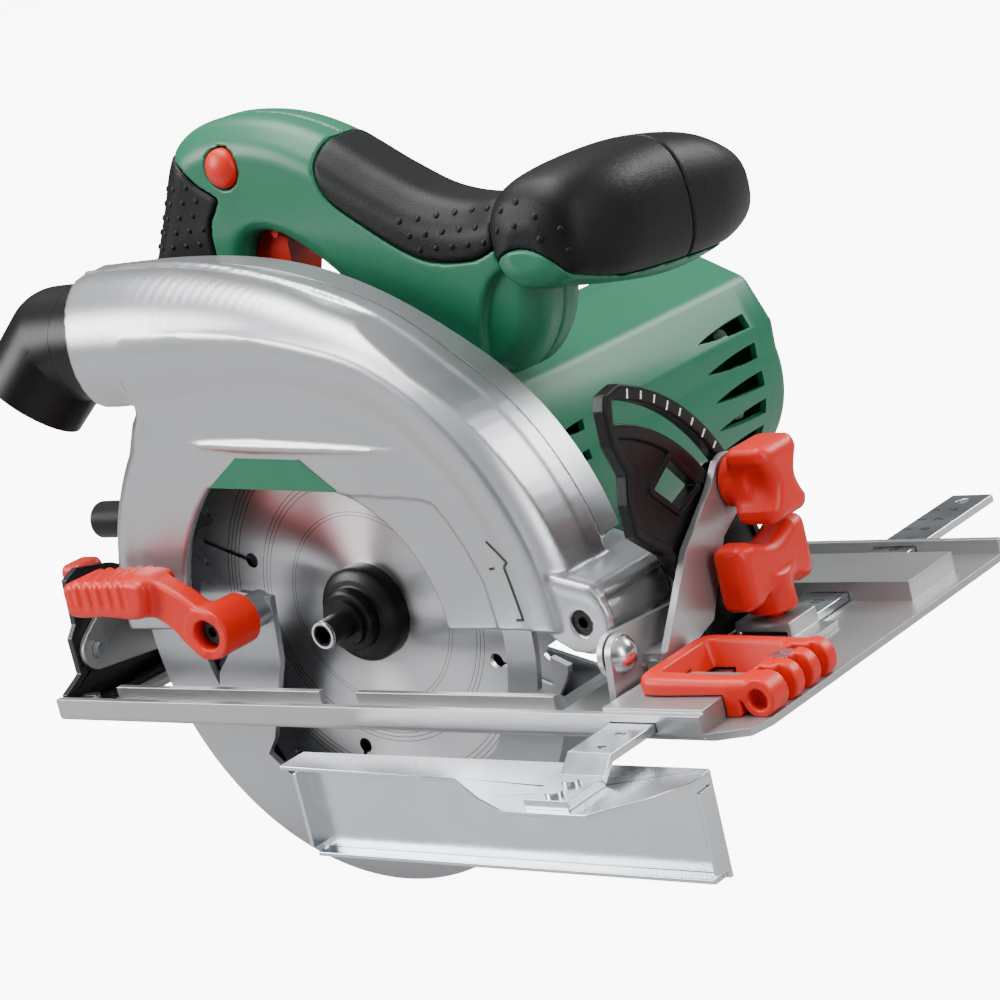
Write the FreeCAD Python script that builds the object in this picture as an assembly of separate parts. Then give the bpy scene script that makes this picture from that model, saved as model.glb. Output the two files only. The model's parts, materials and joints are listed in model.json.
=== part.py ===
import FreeCAD, Part
import math
import os

os.makedirs("parts", exist_ok=True)
V = FreeCAD.Vector

# Frame: X forward, Y from the blade towards the motor, Z up from the sole of the foot plate.

# blade and spindle
BLADE_R = 80.0
BLADE_T = 1.6
TOOTH_T = 2.4
TEETH = 24
CUT_DEPTH = 55.0
AXIS_Z = BLADE_R - CUT_DEPTH
NOSE_R = 10.0
BLADE_FIT = 0.04
FLANGE_R = 16.5
FLANGE_FACE_Y = -13.5
CLAMP_R = 4.0
CLAMP_HEAD_R = 4.8
CLAMP_END_Y = -25.5
SPINDLE_R = 7.5
SPINDLE_END_Y = 37.0

# gear pair and motor
MODULE = 1.25
GEAR_TEETH = 34
PINION_TEETH = 10
GEAR_DX = 12.0
CENTRES = MODULE * (GEAR_TEETH + PINION_TEETH) / 2.0
GEAR_DZ = math.sqrt(CENTRES ** 2 - GEAR_DX ** 2)
GEAR_Y0, GEAR_Y1 = 20.0, 27.0
PRESSURE = math.radians(20.0)
MESH_DEG = math.degrees(math.atan2(GEAR_DZ, GEAR_DX))
ADDENDUM, DEDENDUM = 0.8, 1.1
FLANK_GAP = 0.12
MOTOR_X, MOTOR_Z = GEAR_DX, AXIS_Z + GEAR_DZ
SHAFT_R = 4.0
MOTOR_R = 40.0
MOTOR_WALL, ROOF_ROUND = 2.5, 7.0
MOTOR_Y0, MOTOR_Y1, MOTOR_END_Y = 42.0, 176.0, 189.0
CHAMBER_R, SPINDLE_CASE_R = 37.0, 24.0
LOCK_Y = 28.0
RUN_FIT = 0.03

# foot plate
SHEET = 2.5
FOOT_X0, FOOT_X1 = -116.0, 172.0
FOOT_Y0, FOOT_Y1 = -44.0, 112.0
NEAR_LIP, FAR_LIP = 8.0, 7.5
SLOT_X0, SLOT_X1, SLOT_Y0, SLOT_Y1 = -98.0, 95.0, -29.0, 51.0
SCALE_SCREWS = [(111.5, 40.0), (111.5, 55.0)]
REAR_SCREWS = [(-107.0, -36.0), (-107.0, 10.0)]

# bevel hinge, along X
TILT_Y, TILT_Z = -24.0, 19.0
RIVET_R = 3.0
RIVET_FIT = 0.04
LUG_X = 116.8
EAR_X0, EAR_X1 = 114.4, 116.4
SCALE_X0, SCALE_X1 = 116.8, 121.8
ARM_X0, ARM_X1 = 122.2, 124.7
BOLT_ARM, BOLT_ANGLE, BEVEL_RANGE = 72.0, 27.5, 45.0
BOLT_R = 3.0
REAR_ARM, REAR_ANGLE = 21.6, 34.0
STOP_X, STOP_Y = 109.5, 28.0

# depth hinge, along Y
PIN_X, PIN_Z = 103.5, 27.5
PIN_R = 4.0
PIN_FIT = 0.04
ARM_R = 10.5
LINK_R = 143.0
LINK_Y0, LINK_Y1 = 16.2, 18.7
DEPTH_RANGE = 30.0
LINK_RIVETS = [(-63.0, 14.5), (-49.0, 14.5)]

# guards
WEB_Y, WEB_T = -21.0, 3.0
RIM_R, CAVITY_R = BLADE_R + 20.0, BLADE_R + 15.5
SHOULDER_R, RIM_LEAVES = 8.5, 54.0
RIM_Y, CASE_Y0, CASE_Y1 = 5.0, 12.0, 15.0
LOWER_R, LOWER_WALL = BLADE_R + 10.0, 2.4
LOWER_Y0, LOWER_Y1 = -16.0, 12.0
LOWER_INNER_R = BLADE_R - 12.5
WINDOW_REAR_R, WINDOW_FRONT_R = BLADE_R - 16.5, BLADE_R - 31.0
BOSS_R = 20.0
HUB_X, HUB_Z = -36.0, 31.0
TUBE_R, TUBE_Y, TUBE_Z, TUBE_X = 23.0, -2.5, AXIS_Z + RIM_R - 1.0, -84.0
TUBE_WALL, MOUTH_SLOPE = 2.5, 0.39
PORT_R, PORT_L, DUCT_R = 17.5, 12.0, 16.5
ELBOW_FIT, ELBOW_R, OUTLET_R, OUTLET_L = 0.1, 20.2, 19.5, 24.0
BEND_X, BEND, ELBOW_ROLL = TUBE_X - 26.0, math.radians(55.0), math.radians(30.0)

# handle
GRIP_Y, GRIP_HALF = 45.0, 17.0
TRIGGER_X, TRIGGER_Z, TRIGGER_PIN_R = -35.0, 147.0, 1.5
HANDLE_SCREWS = [(-88, 92), (-14, 88), (26, 112), (50, 112)]
SLEEVE_Y, SLEEVE_Z = 41.0, 46.0

# parallel guide
BAR_X, BAR_W, BAR_T, BAR_Z = 133.0, 16.0, 2.8, 2.7
BAR_FIT = 0.2
FENCE_Y = -58.0
FENCE_X0, FENCE_X1, FENCE_Z0 = 10.0, 167.0, -35.0
FENCE_RIVETS = (-76.0, -84.0)
CLAMP_Y = 36.0


def box(x0, y0, z0, x1, y1, z1):
    return Part.makeBox(x1 - x0, y1 - y0, z1 - z0, V(x0, y0, z0))


def cyl_x(y, z, r, x0, x1):
    return Part.makeCylinder(r, x1 - x0, V(x0, y, z), V(1, 0, 0))


def cyl_y(x, z, r, y0, y1):
    return Part.makeCylinder(r, y1 - y0, V(x, y0, z), V(0, 1, 0))


def cyl_z(x, y, r, z0, z1):
    return Part.makeCylinder(r, z1 - z0, V(x, y, z0), V(0, 0, 1))


def slab(points, axis, lo, hi):
    """Polygon in the plane across axis, pushed from lo to hi along it."""
    lift = {"x": lambda a, b: V(lo, a, b), "y": lambda a, b: V(a, lo, b), "z": lambda a, b: V(a, b, lo)}[axis]
    way = {"x": V(hi - lo, 0, 0), "y": V(0, hi - lo, 0), "z": V(0, 0, hi - lo)}[axis]
    ring = [lift(a, b) for a, b in points]
    return Part.Face(Part.makePolygon(ring + ring[:1])).extrude(way)


def smooth_slab(points, y0, y1):
    """Closed smooth outline in XZ, pushed from y0 to y1."""
    curve = Part.BSplineCurve()
    curve.interpolate([V(x, y0, z) for x, z in points], PeriodicFlag=True)
    return Part.Face(Part.Wire(curve.toShape())).extrude(V(0, y1 - y0, 0))


def fuse(*shapes):
    out = shapes[0]
    for s in shapes[1:]:
        out = out.fuse(s)
    return out.removeSplitter()


def cut(shape, *tools):
    for t in tools:
        shape = shape.cut(t)
    return shape


def polar(x, z, r, deg):
    a = math.radians(deg)
    return (x + r * math.cos(a), z + r * math.sin(a))


def sector(x, z, r, a0, a1, steps=24):
    """Pie-slice outline of radius r from a0 to a1 degrees."""
    return [(x, z)] + [polar(x, z, r, a0 + (a1 - a0) * i / steps) for i in range(steps + 1)]


def ring_y(x, z, r_in, r_out, y0, y1):
    return cut(cyl_y(x, z, r_out, y0, y1), cyl_y(x, z, r_in, y0 - 1, y1 + 1))


def round_edges(shape, radius, pick):
    return shape.makeFillet(radius, [e for e in shape.Edges if pick(e)])


def at_y(y):
    return lambda e: abs(e.BoundBox.YMin - y) < 1e-3 and abs(e.BoundBox.YMax - y) < 1e-3


# ---------------------------------------------------------------- foot group

def foot_plate():
    outline = [(FOOT_X0, FOOT_Y0), (157, FOOT_Y0), (170, -38), (FOOT_X1, -30), (FOOT_X1, FOOT_Y1),
               (FOOT_X0, FOOT_Y1)]
    sheet = slab(outline, "z", 0, SHEET)
    near = box(FOOT_X0, FOOT_Y0, 0, 157, FOOT_Y0 + SHEET, NEAR_LIP)
    far = box(FOOT_X0, FOOT_Y1 - SHEET, 0, FOOT_X1, FOOT_Y1, FAR_LIP)
    body = fuse(sheet, near, far)
    sole_edges = lambda e: (e.BoundBox.ZMax < 1e-3 and e.BoundBox.XLength > 200
                            and (abs(e.BoundBox.YMin - FOOT_Y0) < 1e-3 or abs(e.BoundBox.YMin - FOOT_Y1) < 1e-3))
    body = round_edges(body, 2.0, sole_edges)
    body = cut(body, box(SLOT_X0, SLOT_Y0, -1, SLOT_X1, SLOT_Y1, 20))
    rim_y = SLOT_Y0 - SHEET
    rims = [box(SLOT_X0, rim_y, 0, -2, SLOT_Y0, NEAR_LIP), box(14, rim_y, 0, SLOT_X1, SLOT_Y0, NEAR_LIP)]
    humps = []
    for x0, x1, y0, y1 in ((121, 157, FOOT_Y0 + SHEET, -12), (104, 164, 66, 94)):
        humps.append((box(x0, y0, 0, x1, y1, 9.0), box(x0 + SHEET, y0 + SHEET, -1, x1 - SHEET, y1 - SHEET, 6.5)))
    body = fuse(body, *rims, *[h for h, _ in humps])
    body = cut(body, *[h for _, h in humps])
    half = BAR_W / 2 + BAR_FIT
    bar_way = (FOOT_Y0 - 1, BAR_Z - BAR_FIT, FOOT_Y1 + 1, BAR_Z + BAR_T + BAR_FIT)
    body = cut(body, box(BAR_X - half, bar_way[0], bar_way[1], BAR_X + half, bar_way[2], bar_way[3]))
    lug = fuse(slab([(TILT_Y - 9, 1), (TILT_Y + 9, 1), (TILT_Y + 6.5, TILT_Z), (TILT_Y - 6.5, TILT_Z)],
                    "x", LUG_X, LUG_X + SHEET), cyl_x(TILT_Y, TILT_Z, 6.5, LUG_X, LUG_X + SHEET))
    body = fuse(body, lug)
    body = cut(body, cyl_x(TILT_Y, TILT_Z, RIVET_R, 110, 125))
    for x, y in SCALE_SCREWS + REAR_SCREWS:
        body = cut(body, cyl_z(x, y, 2.0, -1, 5))
    return body


def rear_bracket():
    x0, x1 = FOOT_X0 + 0.5, FOOT_X0 + 3.0
    plate = slab([(-41.2, SHEET), (18, SHEET), (18, 26), (8, 38), (-6, 45), (-22, 48.5), (-28, 46), (-29, 30),
                  (-32.5, 26), (-32.5, 13), (-41.2, 8.5)], "x", x0, x1)
    foot = box(x0, -41.2, SHEET, -101, 18, SHEET + 2.0)
    foot = cut(foot, box(SLOT_X0 - 1, -50, 0, 0, 50, 10), box(-104, -30, 0, -90, 3, 10))
    body = fuse(plate, foot)
    arc = [polar(TILT_Y, TILT_Z, REAR_ARM + d, REAR_ANGLE + a) for d, sweep in ((-3.2, 1), (3.2, -1))
           for a in [t for t in range(-9, 55, 3)][::sweep]]
    body = cut(body, slab(arc, "x", x0 - 1, x1 + 1), cyl_x(TILT_Y, TILT_Z, RIVET_R, x0 - 1, x1 + 1))
    for x, y in REAR_SCREWS:
        body = cut(body, cyl_z(x, y, 2.0, 0, 8))
    return body


def screws(points, top_z, bottom_z, r=2.0, head_r=3.6, head_h=2.0):
    out = []
    for x, y in points:
        one = fuse(cyl_z(x, y, r, bottom_z, top_z), cyl_z(x, y, head_r, top_z, top_z + head_h))
        out.append(cut(one, box(x - 3, y - 0.5, top_z + head_h - 0.8, x + 3, y + 0.5, top_z + 5)))
    return Part.makeCompound(out)


def bevel_scale():
    """Fixed quadrant with the arc slot the front clamp bolt slides in."""
    x0, x1 = SCALE_X0, SCALE_X1
    rim = [polar(TILT_Y, TILT_Z, 80.5, a) for a in range(32, 70, 4)]
    outline = rim + [(1, 96), (-7, 92), (-9, 78), (-6, 68), (-9, 60), (-9, 50), (4, 40), (12, 26), (16, SHEET),
                     (60, SHEET), (60, 12), (53, 34)]
    plate = slab(outline, "x", x0, x1)
    foot = box(107, 35, SHEET, x0 + 1, 60, SHEET + 3.0)
    arc = [polar(TILT_Y, TILT_Z, BOLT_ARM + d, BOLT_ANGLE + a) for d, sweep in ((-3.3, 1), (3.3, -1))
           for a in [t for t in range(-3, 49, 3)][::sweep]]
    window = [polar(TILT_Y, TILT_Z, r, a) for r, a in ((62, 34), (62, 50), (50, 56), (50, 40))]
    body = cut(fuse(plate, foot), slab(arc, "x", x0 - 1, x1 + 1), slab(window, "x", x0 - 1, x1 + 1))
    for x, y in SCALE_SCREWS:
        body = cut(body, cyl_z(x, y, 2.0, 0, 8))
    return body


def cut_line_sight():
    body = slab([(126, -27), (131, -33), (168, -30), (174, -24), (174, 5), (168, 7), (133, 7), (126, 2)],
                "z", SHEET, 14)
    body = cut(body, box(135, -22, 0, 158, -2, 20), box(121, -60, 0, 157.4, -11.6, 9.4),
               box(BAR_X - 8.5, -40, 0, BAR_X + 8.5, 20, 6))
    body = cut(body, cyl_z(163, -20, 3.0, 0, 20), cyl_z(163, -6, 2.0, 0, 12), cyl_z(163, -6, 4.2, 11, 20))
    for y in (-19.0, -10.0, -1.0):
        body = cut(body, box(168.5, y - 1.6, 9.0, 180, y + 1.6, 20))
    return body


def pivot_rivets():
    """Two rivets on the bevel axis, one through each fixed lug."""
    front = fuse(cyl_x(TILT_Y, TILT_Z, RIVET_R, EAR_X0, LUG_X + SHEET),
                 dome_x(TILT_Y, TILT_Z, 6.0, LUG_X + SHEET, 1))
    rear = fuse(cyl_x(TILT_Y, TILT_Z, RIVET_R, FOOT_X0 + 0.5, -108.0),
                dome_x(TILT_Y, TILT_Z, 5.5, FOOT_X0 + 0.5, -1))
    return Part.makeCompound([front, rear])


def dome_x(y, z, r, x, way):
    ball = Part.makeSphere(r * 1.15, V(x - way * r * 0.55, y, z))
    keep = cyl_x(y, z, r, x if way > 0 else x - 5, x + 5 if way > 0 else x)
    return ball.common(keep)


def clamp_bridge():
    """Strap over the guide bar with the thread of its clamp screw."""
    half = BAR_W / 2 + 0.5
    x0, x1 = BAR_X - half - 2.0, BAR_X + half + 9.0
    body = fuse(box(x0, CLAMP_Y - 8, SHEET, x1, CLAMP_Y + 8, SHEET + 2),
                box(BAR_X - half - 2, CLAMP_Y - 8, SHEET, BAR_X + half + 2, CLAMP_Y + 8, 9.5))
    body = cut(body, box(BAR_X - half, CLAMP_Y - 9, 0, BAR_X + half, CLAMP_Y + 9, BAR_Z + BAR_T + 0.5))
    return cut(body, cyl_z(BAR_X, CLAMP_Y, BOLT_R + PIN_FIT, 0, 20))


# ---------------------------------------------------------------- tilt group

def tilt_bracket_front():
    knuckle = cyl_y(PIN_X, PIN_Z, 7.5, WEB_Y + 4.5, 15.5)
    ribs = [slab([(98, 22), (103.5, 20), (111, 21.5), (EAR_X1, 23.5), (EAR_X1, 8), (108, 8)], "y", y, y + 3)
            for y in (-13.0, 10.0)]
    ear = fuse(slab([(TILT_Y, TILT_Z - 7), (13, 8), (13, 23), (TILT_Y, TILT_Z + 7)], "x", EAR_X0, EAR_X1),
               cyl_x(TILT_Y, TILT_Z, 7.0, EAR_X0, EAR_X1))
    web = box(EAR_X0, -12, 12.2, ARM_X1, 5, 14.7)
    arm_end = polar(TILT_Y, TILT_Z, BOLT_ARM, BOLT_ANGLE)
    arm = fuse(slab([(-12, 12.2), (5, 12.2), (16, 15), (30, 37), (arm_end[0] + 6, arm_end[1] - 7),
                     (arm_end[0] - 5, arm_end[1] + 8), (28, 53), (10, 40)], "x", ARM_X0, ARM_X1),
               cyl_x(arm_end[0], arm_end[1], 9.0, ARM_X0, ARM_X1))
    tab = box(104, 12, 12.2, EAR_X1, STOP_Y + 5, 14.7)
    body = fuse(knuckle, *ribs, ear, web, arm, tab)
    return cut(body, cyl_y(PIN_X, PIN_Z, PIN_R, -40, 40), cyl_x(TILT_Y, TILT_Z, RIVET_R + RIVET_FIT, 110, 120),
               cyl_x(arm_end[0], arm_end[1], BOLT_R, 120, 130), cyl_z(STOP_X, STOP_Y, 2.5, 0, 20))


def stop_screw():
    """Zero stop: a slotted screw that rests on the foot plate, with its lock nut."""
    body = fuse(cyl_z(STOP_X, STOP_Y, 2.5, SHEET + 0.02, 27), cyl_z(STOP_X, STOP_Y, 5.0, 27, 30.5))
    body = cut(body, box(STOP_X - 6, STOP_Y - 0.7, 29, STOP_X + 6, STOP_Y + 0.7, 35))
    nut = cut(hexagon(STOP_X, STOP_Y, 8.0, 14.7, 18.7), cyl_z(STOP_X, STOP_Y, 2.5, 10, 25))
    return Part.makeCompound([body, nut])


def hexagon(x, y, across, z0, z1):
    r = across / 2 / math.cos(math.radians(30))
    return slab([polar(x, y, r, 60 * i) for i in range(6)], "z", z0, z1)


def tilt_bracket_rear():
    x0, x1 = FOOT_X0 + 3.3, FOOT_X0 + 5.5
    end = polar(TILT_Y, TILT_Z, REAR_ARM, REAR_ANGLE)
    plate = fuse(cyl_x(TILT_Y, TILT_Z, 7.0, x0, x1),
                 slab([(TILT_Y, TILT_Z - 7), (LINK_Y1 + 2.2, 7), (LINK_Y1 + 2.2, 25), (end[0] + 8, end[1] + 2),
                       (end[0] - 2, end[1] + 8), (TILT_Y - 4, TILT_Z + 6)], "x", x0, x1))
    wing = box(x0, LINK_Y1, 7, -40, LINK_Y1 + 2.2, 22)
    body = cut(fuse(plate, wing), cyl_x(TILT_Y, TILT_Z, RIVET_R + RIVET_FIT, x0 - 1, x1 + 1),
               cyl_x(end[0], end[1], BOLT_R, x0 - 1, x1 + 1))
    for x, z in LINK_RIVETS:
        body = cut(body, cyl_y(x, z, 2.0, 10, 30))
    return body


def depth_link():
    """Slotted arc about the depth hinge, riveted to the rear bracket; the clamp bolt slides in it."""
    def arc(r, a0, a1):
        return [polar(PIN_X, PIN_Z, r, a0 + (a1 - a0) * i / 16.0) for i in range(17)]
    lo, hi = 184.5, 180.0 - DEPTH_RANGE - 3.4
    body = slab(arc(LINK_R + 8, lo, hi) + arc(LINK_R - 8, hi, lo), "y", LINK_Y0, LINK_Y1)
    foot = box(-70, LINK_Y0, 7.5, -36, LINK_Y1, 21.5)
    slot = arc(LINK_R + 3.2, 181.5, hi + 1.9) + arc(LINK_R - 3.2, hi + 1.9, 181.5)
    body = cut(fuse(body, foot), slab(slot, "y", LINK_Y0 - 1, LINK_Y1 + 1), box(-150, 0, -20, 0, 40, 7.5))
    rivets = []
    for x, z in LINK_RIVETS:
        body = cut(body, cyl_y(x, z, 2.0, 10, 30))
        rivets.append(fuse(cyl_y(x, z, 2.0, LINK_Y0, LINK_Y1 + 2.2),
                           cyl_y(x, z, 3.4, LINK_Y1 + 2.2, LINK_Y1 + 3.8)))
    return Part.makeCompound([body] + rivets)


def depth_pin():
    body = fuse(cyl_y(PIN_X, PIN_Z, PIN_R, WEB_Y + 1.0, 20.2), cyl_y(PIN_X, PIN_Z, PIN_R + 2, 20.2, 22.0))
    return cut(body, cyl_y(PIN_X, PIN_Z, 1.8, -40, -18))


def bevel_bolts():
    """The two clamp bolts that slide in the fixed arc slots, front and rear."""
    y, z = polar(TILT_Y, TILT_Z, BOLT_ARM, BOLT_ANGLE)
    front = fuse(cyl_x(y, z, BOLT_R, SCALE_X0 - 0.4, 139), cyl_x(y, z, 6.0, SCALE_X0 - 2.8, SCALE_X0 - 0.4))
    y, z = polar(TILT_Y, TILT_Z, REAR_ARM, REAR_ANGLE)
    rear = fuse(cyl_x(y, z, BOLT_R, -128, -110.5), cyl_x(y, z, 5.5, -110.5, -108.5))
    return Part.makeCompound([front, rear])


def wing_profile(cy, cz, half_w, half_h, waist):
    """Plump bow-tie outline of a wing knob."""
    w, h, q = half_w, half_h, waist
    return [(cy - w * 0.72, cz - h), (cy - w, cz - h * 0.45), (cy - w, cz + h * 0.45), (cy - w * 0.72, cz + h),
            (cy - q * 0.6, cz + h * 0.78), (cy + q * 0.6, cz + h * 0.78), (cy + w * 0.72, cz + h),
            (cy + w, cz + h * 0.45), (cy + w, cz - h * 0.45), (cy + w * 0.72, cz - h),
            (cy + q * 0.6, cz - h * 0.78), (cy - q * 0.6, cz - h * 0.78)]


def bevel_knob():
    y, z = polar(TILT_Y, TILT_Z, BOLT_ARM, BOLT_ANGLE)
    wing = slab(wing_profile(y, z, 10.0, 12.5, 5.0), "x", 129, 146)
    hub = cyl_x(y, z, 8.5, ARM_X1 + 0.5, 130)
    body = round_edges(wing, 2.5, lambda e: e.BoundBox.XLength < 1e-3)
    return cut(fuse(body, hub), cyl_x(y, z, BOLT_R + PIN_FIT, 120, 140))


def bevel_wing_rear():
    y, z = polar(TILT_Y, TILT_Z, REAR_ARM, REAR_ANGLE)
    x0 = FOOT_X0 + 0.2
    wing = slab(wing_profile(y, z, 6.5, 15.0, 4.0), "x", x0 - 19, x0 - 7)
    hub = cyl_x(y, z, 7.5, x0 - 8, x0)
    body = round_edges(wing, 2.0, lambda e: e.BoundBox.XLength < 1e-3)
    return cut(fuse(body, hub), cyl_x(y, z, BOLT_R + PIN_FIT, x0 - 13, x0 + 2))


# ---------------------------------------------------------------- saw group

def guard_outline(floor):
    """Upper edge of the guard: round over the blade, then a long sweep up to the top of the dust tube."""
    def at(x, z):
        return V(x, 0, z)

    def bow(r, a0, a1):
        ends = [polar(0, AXIS_Z, r, a) for a in (a0, (a0 + a1) / 2.0, a1)]
        return Part.Arc(*[at(x, z) for x, z in ends]).toShape()
    leave = math.radians(RIM_LEAVES)
    x, z = polar(0, AXIS_Z, RIM_R, RIM_LEAVES)
    crest = TUBE_Z + TUBE_R - 0.4
    sweep = Part.BezierCurve()
    sweep.setPoles([at(x, z), at(x - 54 * math.sin(leave), z + 54 * math.cos(leave)), at(-14, crest), at(TUBE_X, crest)])
    rear_x, rear_z = polar(0, AXIS_Z, RIM_R - 1.0, 134.0)
    low = TUBE_Z - TUBE_R + 2.5
    edges = [bow(RIM_R, 0, RIM_LEAVES), sweep.toShape()]
    corners = [(TUBE_X, crest), (-110, crest), (-110, low), (TUBE_X + 2, low), (rear_x, rear_z)]
    edges += [Part.makeLine(at(*p), at(*q)) for p, q in zip(corners, corners[1:])]
    edges.append(bow(RIM_R - 1.0, 134.0, 180.0))
    corners = [(1.0 - RIM_R, AXIS_Z), (1.0 - RIM_R, floor - 1), (RIM_R, floor - 1), (RIM_R, AXIS_Z)]
    edges += [Part.makeLine(at(*p), at(*q)) for p, q in zip(corners, corners[1:])]
    return Part.Face(Part.Wire(edges))


def outline_body(y0, y1, floor=AXIS_Z):
    face = guard_outline(floor)
    face.translate(V(0, y0, 0))
    return cut(face.extrude(V(0, y1 - y0, 0)), box(-120, y0 - 1, floor - 20, 120, y1 + 1, floor))


def mouth(way):
    """Slanted plane where the tube of the guard ends and the elbow starts; way +1 keeps the guard side."""
    x = [TUBE_X - 9 - MOUTH_SLOPE * (y - TUBE_Y) for y in (-60, 60)]
    far = 300 * way
    return slab([(x[0], -60), (x[1], 60), (x[1] + far, 60), (x[0] + far, -60)], "z", 50, 200)


def tube_sections():
    stations = [(TUBE_X - 28, TUBE_Y, TUBE_Z, TUBE_R, 0.0), (TUBE_X, TUBE_Y, TUBE_Z, TUBE_R, 0.0),
                (-45, -2.5, TUBE_Z - 1.0, 21.0, -0.06), (0, -4.5, TUBE_Z - 5.2, 17.5, -0.22),
                (38, -9.0, TUBE_Z - 18.5, 12.5, -0.62), (60, -11.0, TUBE_Z - 36.0, 9.0, -1.1)]
    return [Part.Wire(Part.makeCircle(r, V(x, y, z), V(1, 0, s))) for x, y, z, r, s in stations]


def upper_guard():
    shell = outline_body(WEB_Y, RIM_Y)
    shell = round_edges(shell, SHOULDER_R, lambda e: at_y(WEB_Y)(e) and e.BoundBox.ZMax > AXIS_Z + 1
                        and e.BoundBox.ZMin < AXIS_Z + RIM_R and abs(e.BoundBox.XLength) > 5)
    shell = cut(shell, box(-130, -40, TUBE_Z - 34, TUBE_X + 6, 40, TUBE_Z + 16))
    tube = Part.makeLoft(tube_sections(), True)
    body = fuse(shell, tube).common(fuse(mouth(1), box(-130, -60, 0, 130, 60, AXIS_Z + 25)))
    cavity = cyl_y(0, AXIS_Z, CAVITY_R, WEB_Y + WEB_T, RIM_Y + 40)
    bore = cyl_x(TUBE_Y, TUBE_Z, TUBE_R - TUBE_WALL, TUBE_X - 40, -40)
    body = cut(body, cavity, bore)
    sill = AXIS_Z + 46.5
    window = ([(-70, AXIS_Z - 5)] + [polar(0, AXIS_Z, WINDOW_REAR_R, a) for a in range(180, 127, -4)]
              + [(-38, sill + 3.5), (17, sill)] + [polar(0, AXIS_Z, WINDOW_FRONT_R, a) for a in range(69, -1, -6)]
              + [(WINDOW_FRONT_R, AXIS_Z - 5)])
    body = cut(body, slab(window, "y", WEB_Y - 5, WEB_Y + WEB_T + 1))
    nose = [(97, 42), (109, 39), (PIN_X + ARM_R - 2, 35.5)]
    cheek = [(80, 25), (80, 48)] + nose + [(PIN_X + ARM_R, PIN_Z), (PIN_X, 20)]
    cheeks = [fuse(slab(cheek, "y", y, y + 4), cyl_y(PIN_X, PIN_Z, ARM_R, y, y + 4)) for y in (WEB_Y, 16.0)]
    cheeks[1] = cut(cheeks[1], box(60, 0, 0, 91, 40, 80))
    roof = cut(slab([(88, 45.5)] + nose + [(110.5, 33), (108, 35.5), (96, 38.5), (88, 41)], "y", WEB_Y, 20.0),
               box(60, RIM_Y, 0, 91, 40, 80))
    body = cut(body, box(93, WEB_Y + 4, 0, 130, 40, PIN_Z), cyl_y(PIN_X, PIN_Z, 9.0, WEB_Y + 4, 40))
    body = fuse(body, *cheeks, roof)
    body = cut(body, cyl_y(0, AXIS_Z, CAVITY_R, WEB_Y + WEB_T, RIM_Y + 1))
    return cut(body, cyl_y(PIN_X, PIN_Z, PIN_R + PIN_FIT, -40, 40))


def gear_case():
    """Back plate of the guard with the gear chamber behind it."""
    plate = cut(outline_body(RIM_Y, CASE_Y1), cyl_y(0, AXIS_Z, CAVITY_R, 0, CASE_Y0))
    chamber = fuse(cyl_y(0, AXIS_Z, SPINDLE_CASE_R, CASE_Y1 - 1, MOTOR_Y0), cyl_y(MOTOR_X, MOTOR_Z, CHAMBER_R, CASE_Y1 - 1, MOTOR_Y0))
    hollow = [cyl_y(0, AXIS_Z, 22.6, CASE_Y1 + 2, 30), cyl_y(MOTOR_X, MOTOR_Z, 9.5, CASE_Y1 + 2, 32),
              cyl_y(MOTOR_X, MOTOR_Z, 30.0, 35, MOTOR_Y0 + 1)]
    boss = cyl_y(0, AXIS_Z, BOSS_R, 7.3, CASE_Y0 + 1)
    ledge = slab([(-52, 15), (-26, 15), (-26, 40), (-52, 40)], "y", CASE_Y0, CASE_Y1)
    plate = plate.common(fuse(mouth(1), box(-130, -60, 0, 130, 60, AXIS_Z + 25)))
    body = fuse(plate, chamber, boss, ledge)
    body = cut(body, *hollow)
    body = cut(body, Part.makeLoft(tube_sections(), True))
    body = cut(body, box(90.7, 0, 0, 130, 40, 47.0), cyl_y(0, AXIS_Z, 11.0, 0, 22), cyl_y(0, AXIS_Z, 13.0, 14.2, 24),
               cyl_y(0, AXIS_Z, 10.0, 25, 38.5),
               cyl_x(LOCK_Y, MOTOR_Z, 3.1, 30, 60), cyl_y(MOTOR_X, MOTOR_Z, SHAFT_R + 1.0, 10, 50),
               cyl_y(MOTOR_X, MOTOR_Z, 8.5, 32, 38))
    cx, cz = polar(PIN_X, PIN_Z, LINK_R, 180)
    return cut(body, cyl_y(cx, cz, BOLT_R, 0, 30))


def depth_bolt():
    x, z = polar(PIN_X, PIN_Z, LINK_R, 180)
    return fuse(cyl_y(x, z, BOLT_R, CASE_Y0, 30), cyl_y(x, z, 2.9, 30, 31))


def depth_lever():
    x, z = polar(PIN_X, PIN_Z, LINK_R, 180)
    hub = cyl_y(x, z, 8.0, LINK_Y1 + 2.6, 28)
    arm = slab([(x - 6, z - 4), (x - 4, z + 6), (x - 30, z + 22), (x - 46, z + 24), (x - 48, z + 15),
                (x - 28, z + 10)], "y", LINK_Y1 + 3.2, 27.4)
    return cut(fuse(hub, arm), cyl_y(x, z, BOLT_R + PIN_FIT, 10, 29.9))


def motor_body(y0, y1, inset=0.0):
    """Round motor body under a broad, flat-topped roof that the stem of the handle stands on."""
    k = 1.0 - inset / MOTOR_R
    roof = [(-26, 30), (-13, 45), (10, 46.8), (31.5, 35.5), (39.5, 18), (39, 0), (0, 0)]
    body = slab([(MOTOR_X + k * x, MOTOR_Z + k * z) for x, z in roof], "y", y0, y1)
    body = round_edges(body, ROOF_ROUND, lambda e: e.BoundBox.YLength > 1 and e.BoundBox.ZMin > MOTOR_Z + 25)
    return fuse(cyl_y(MOTOR_X, MOTOR_Z, MOTOR_R - inset, y0, y1), body)


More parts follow.
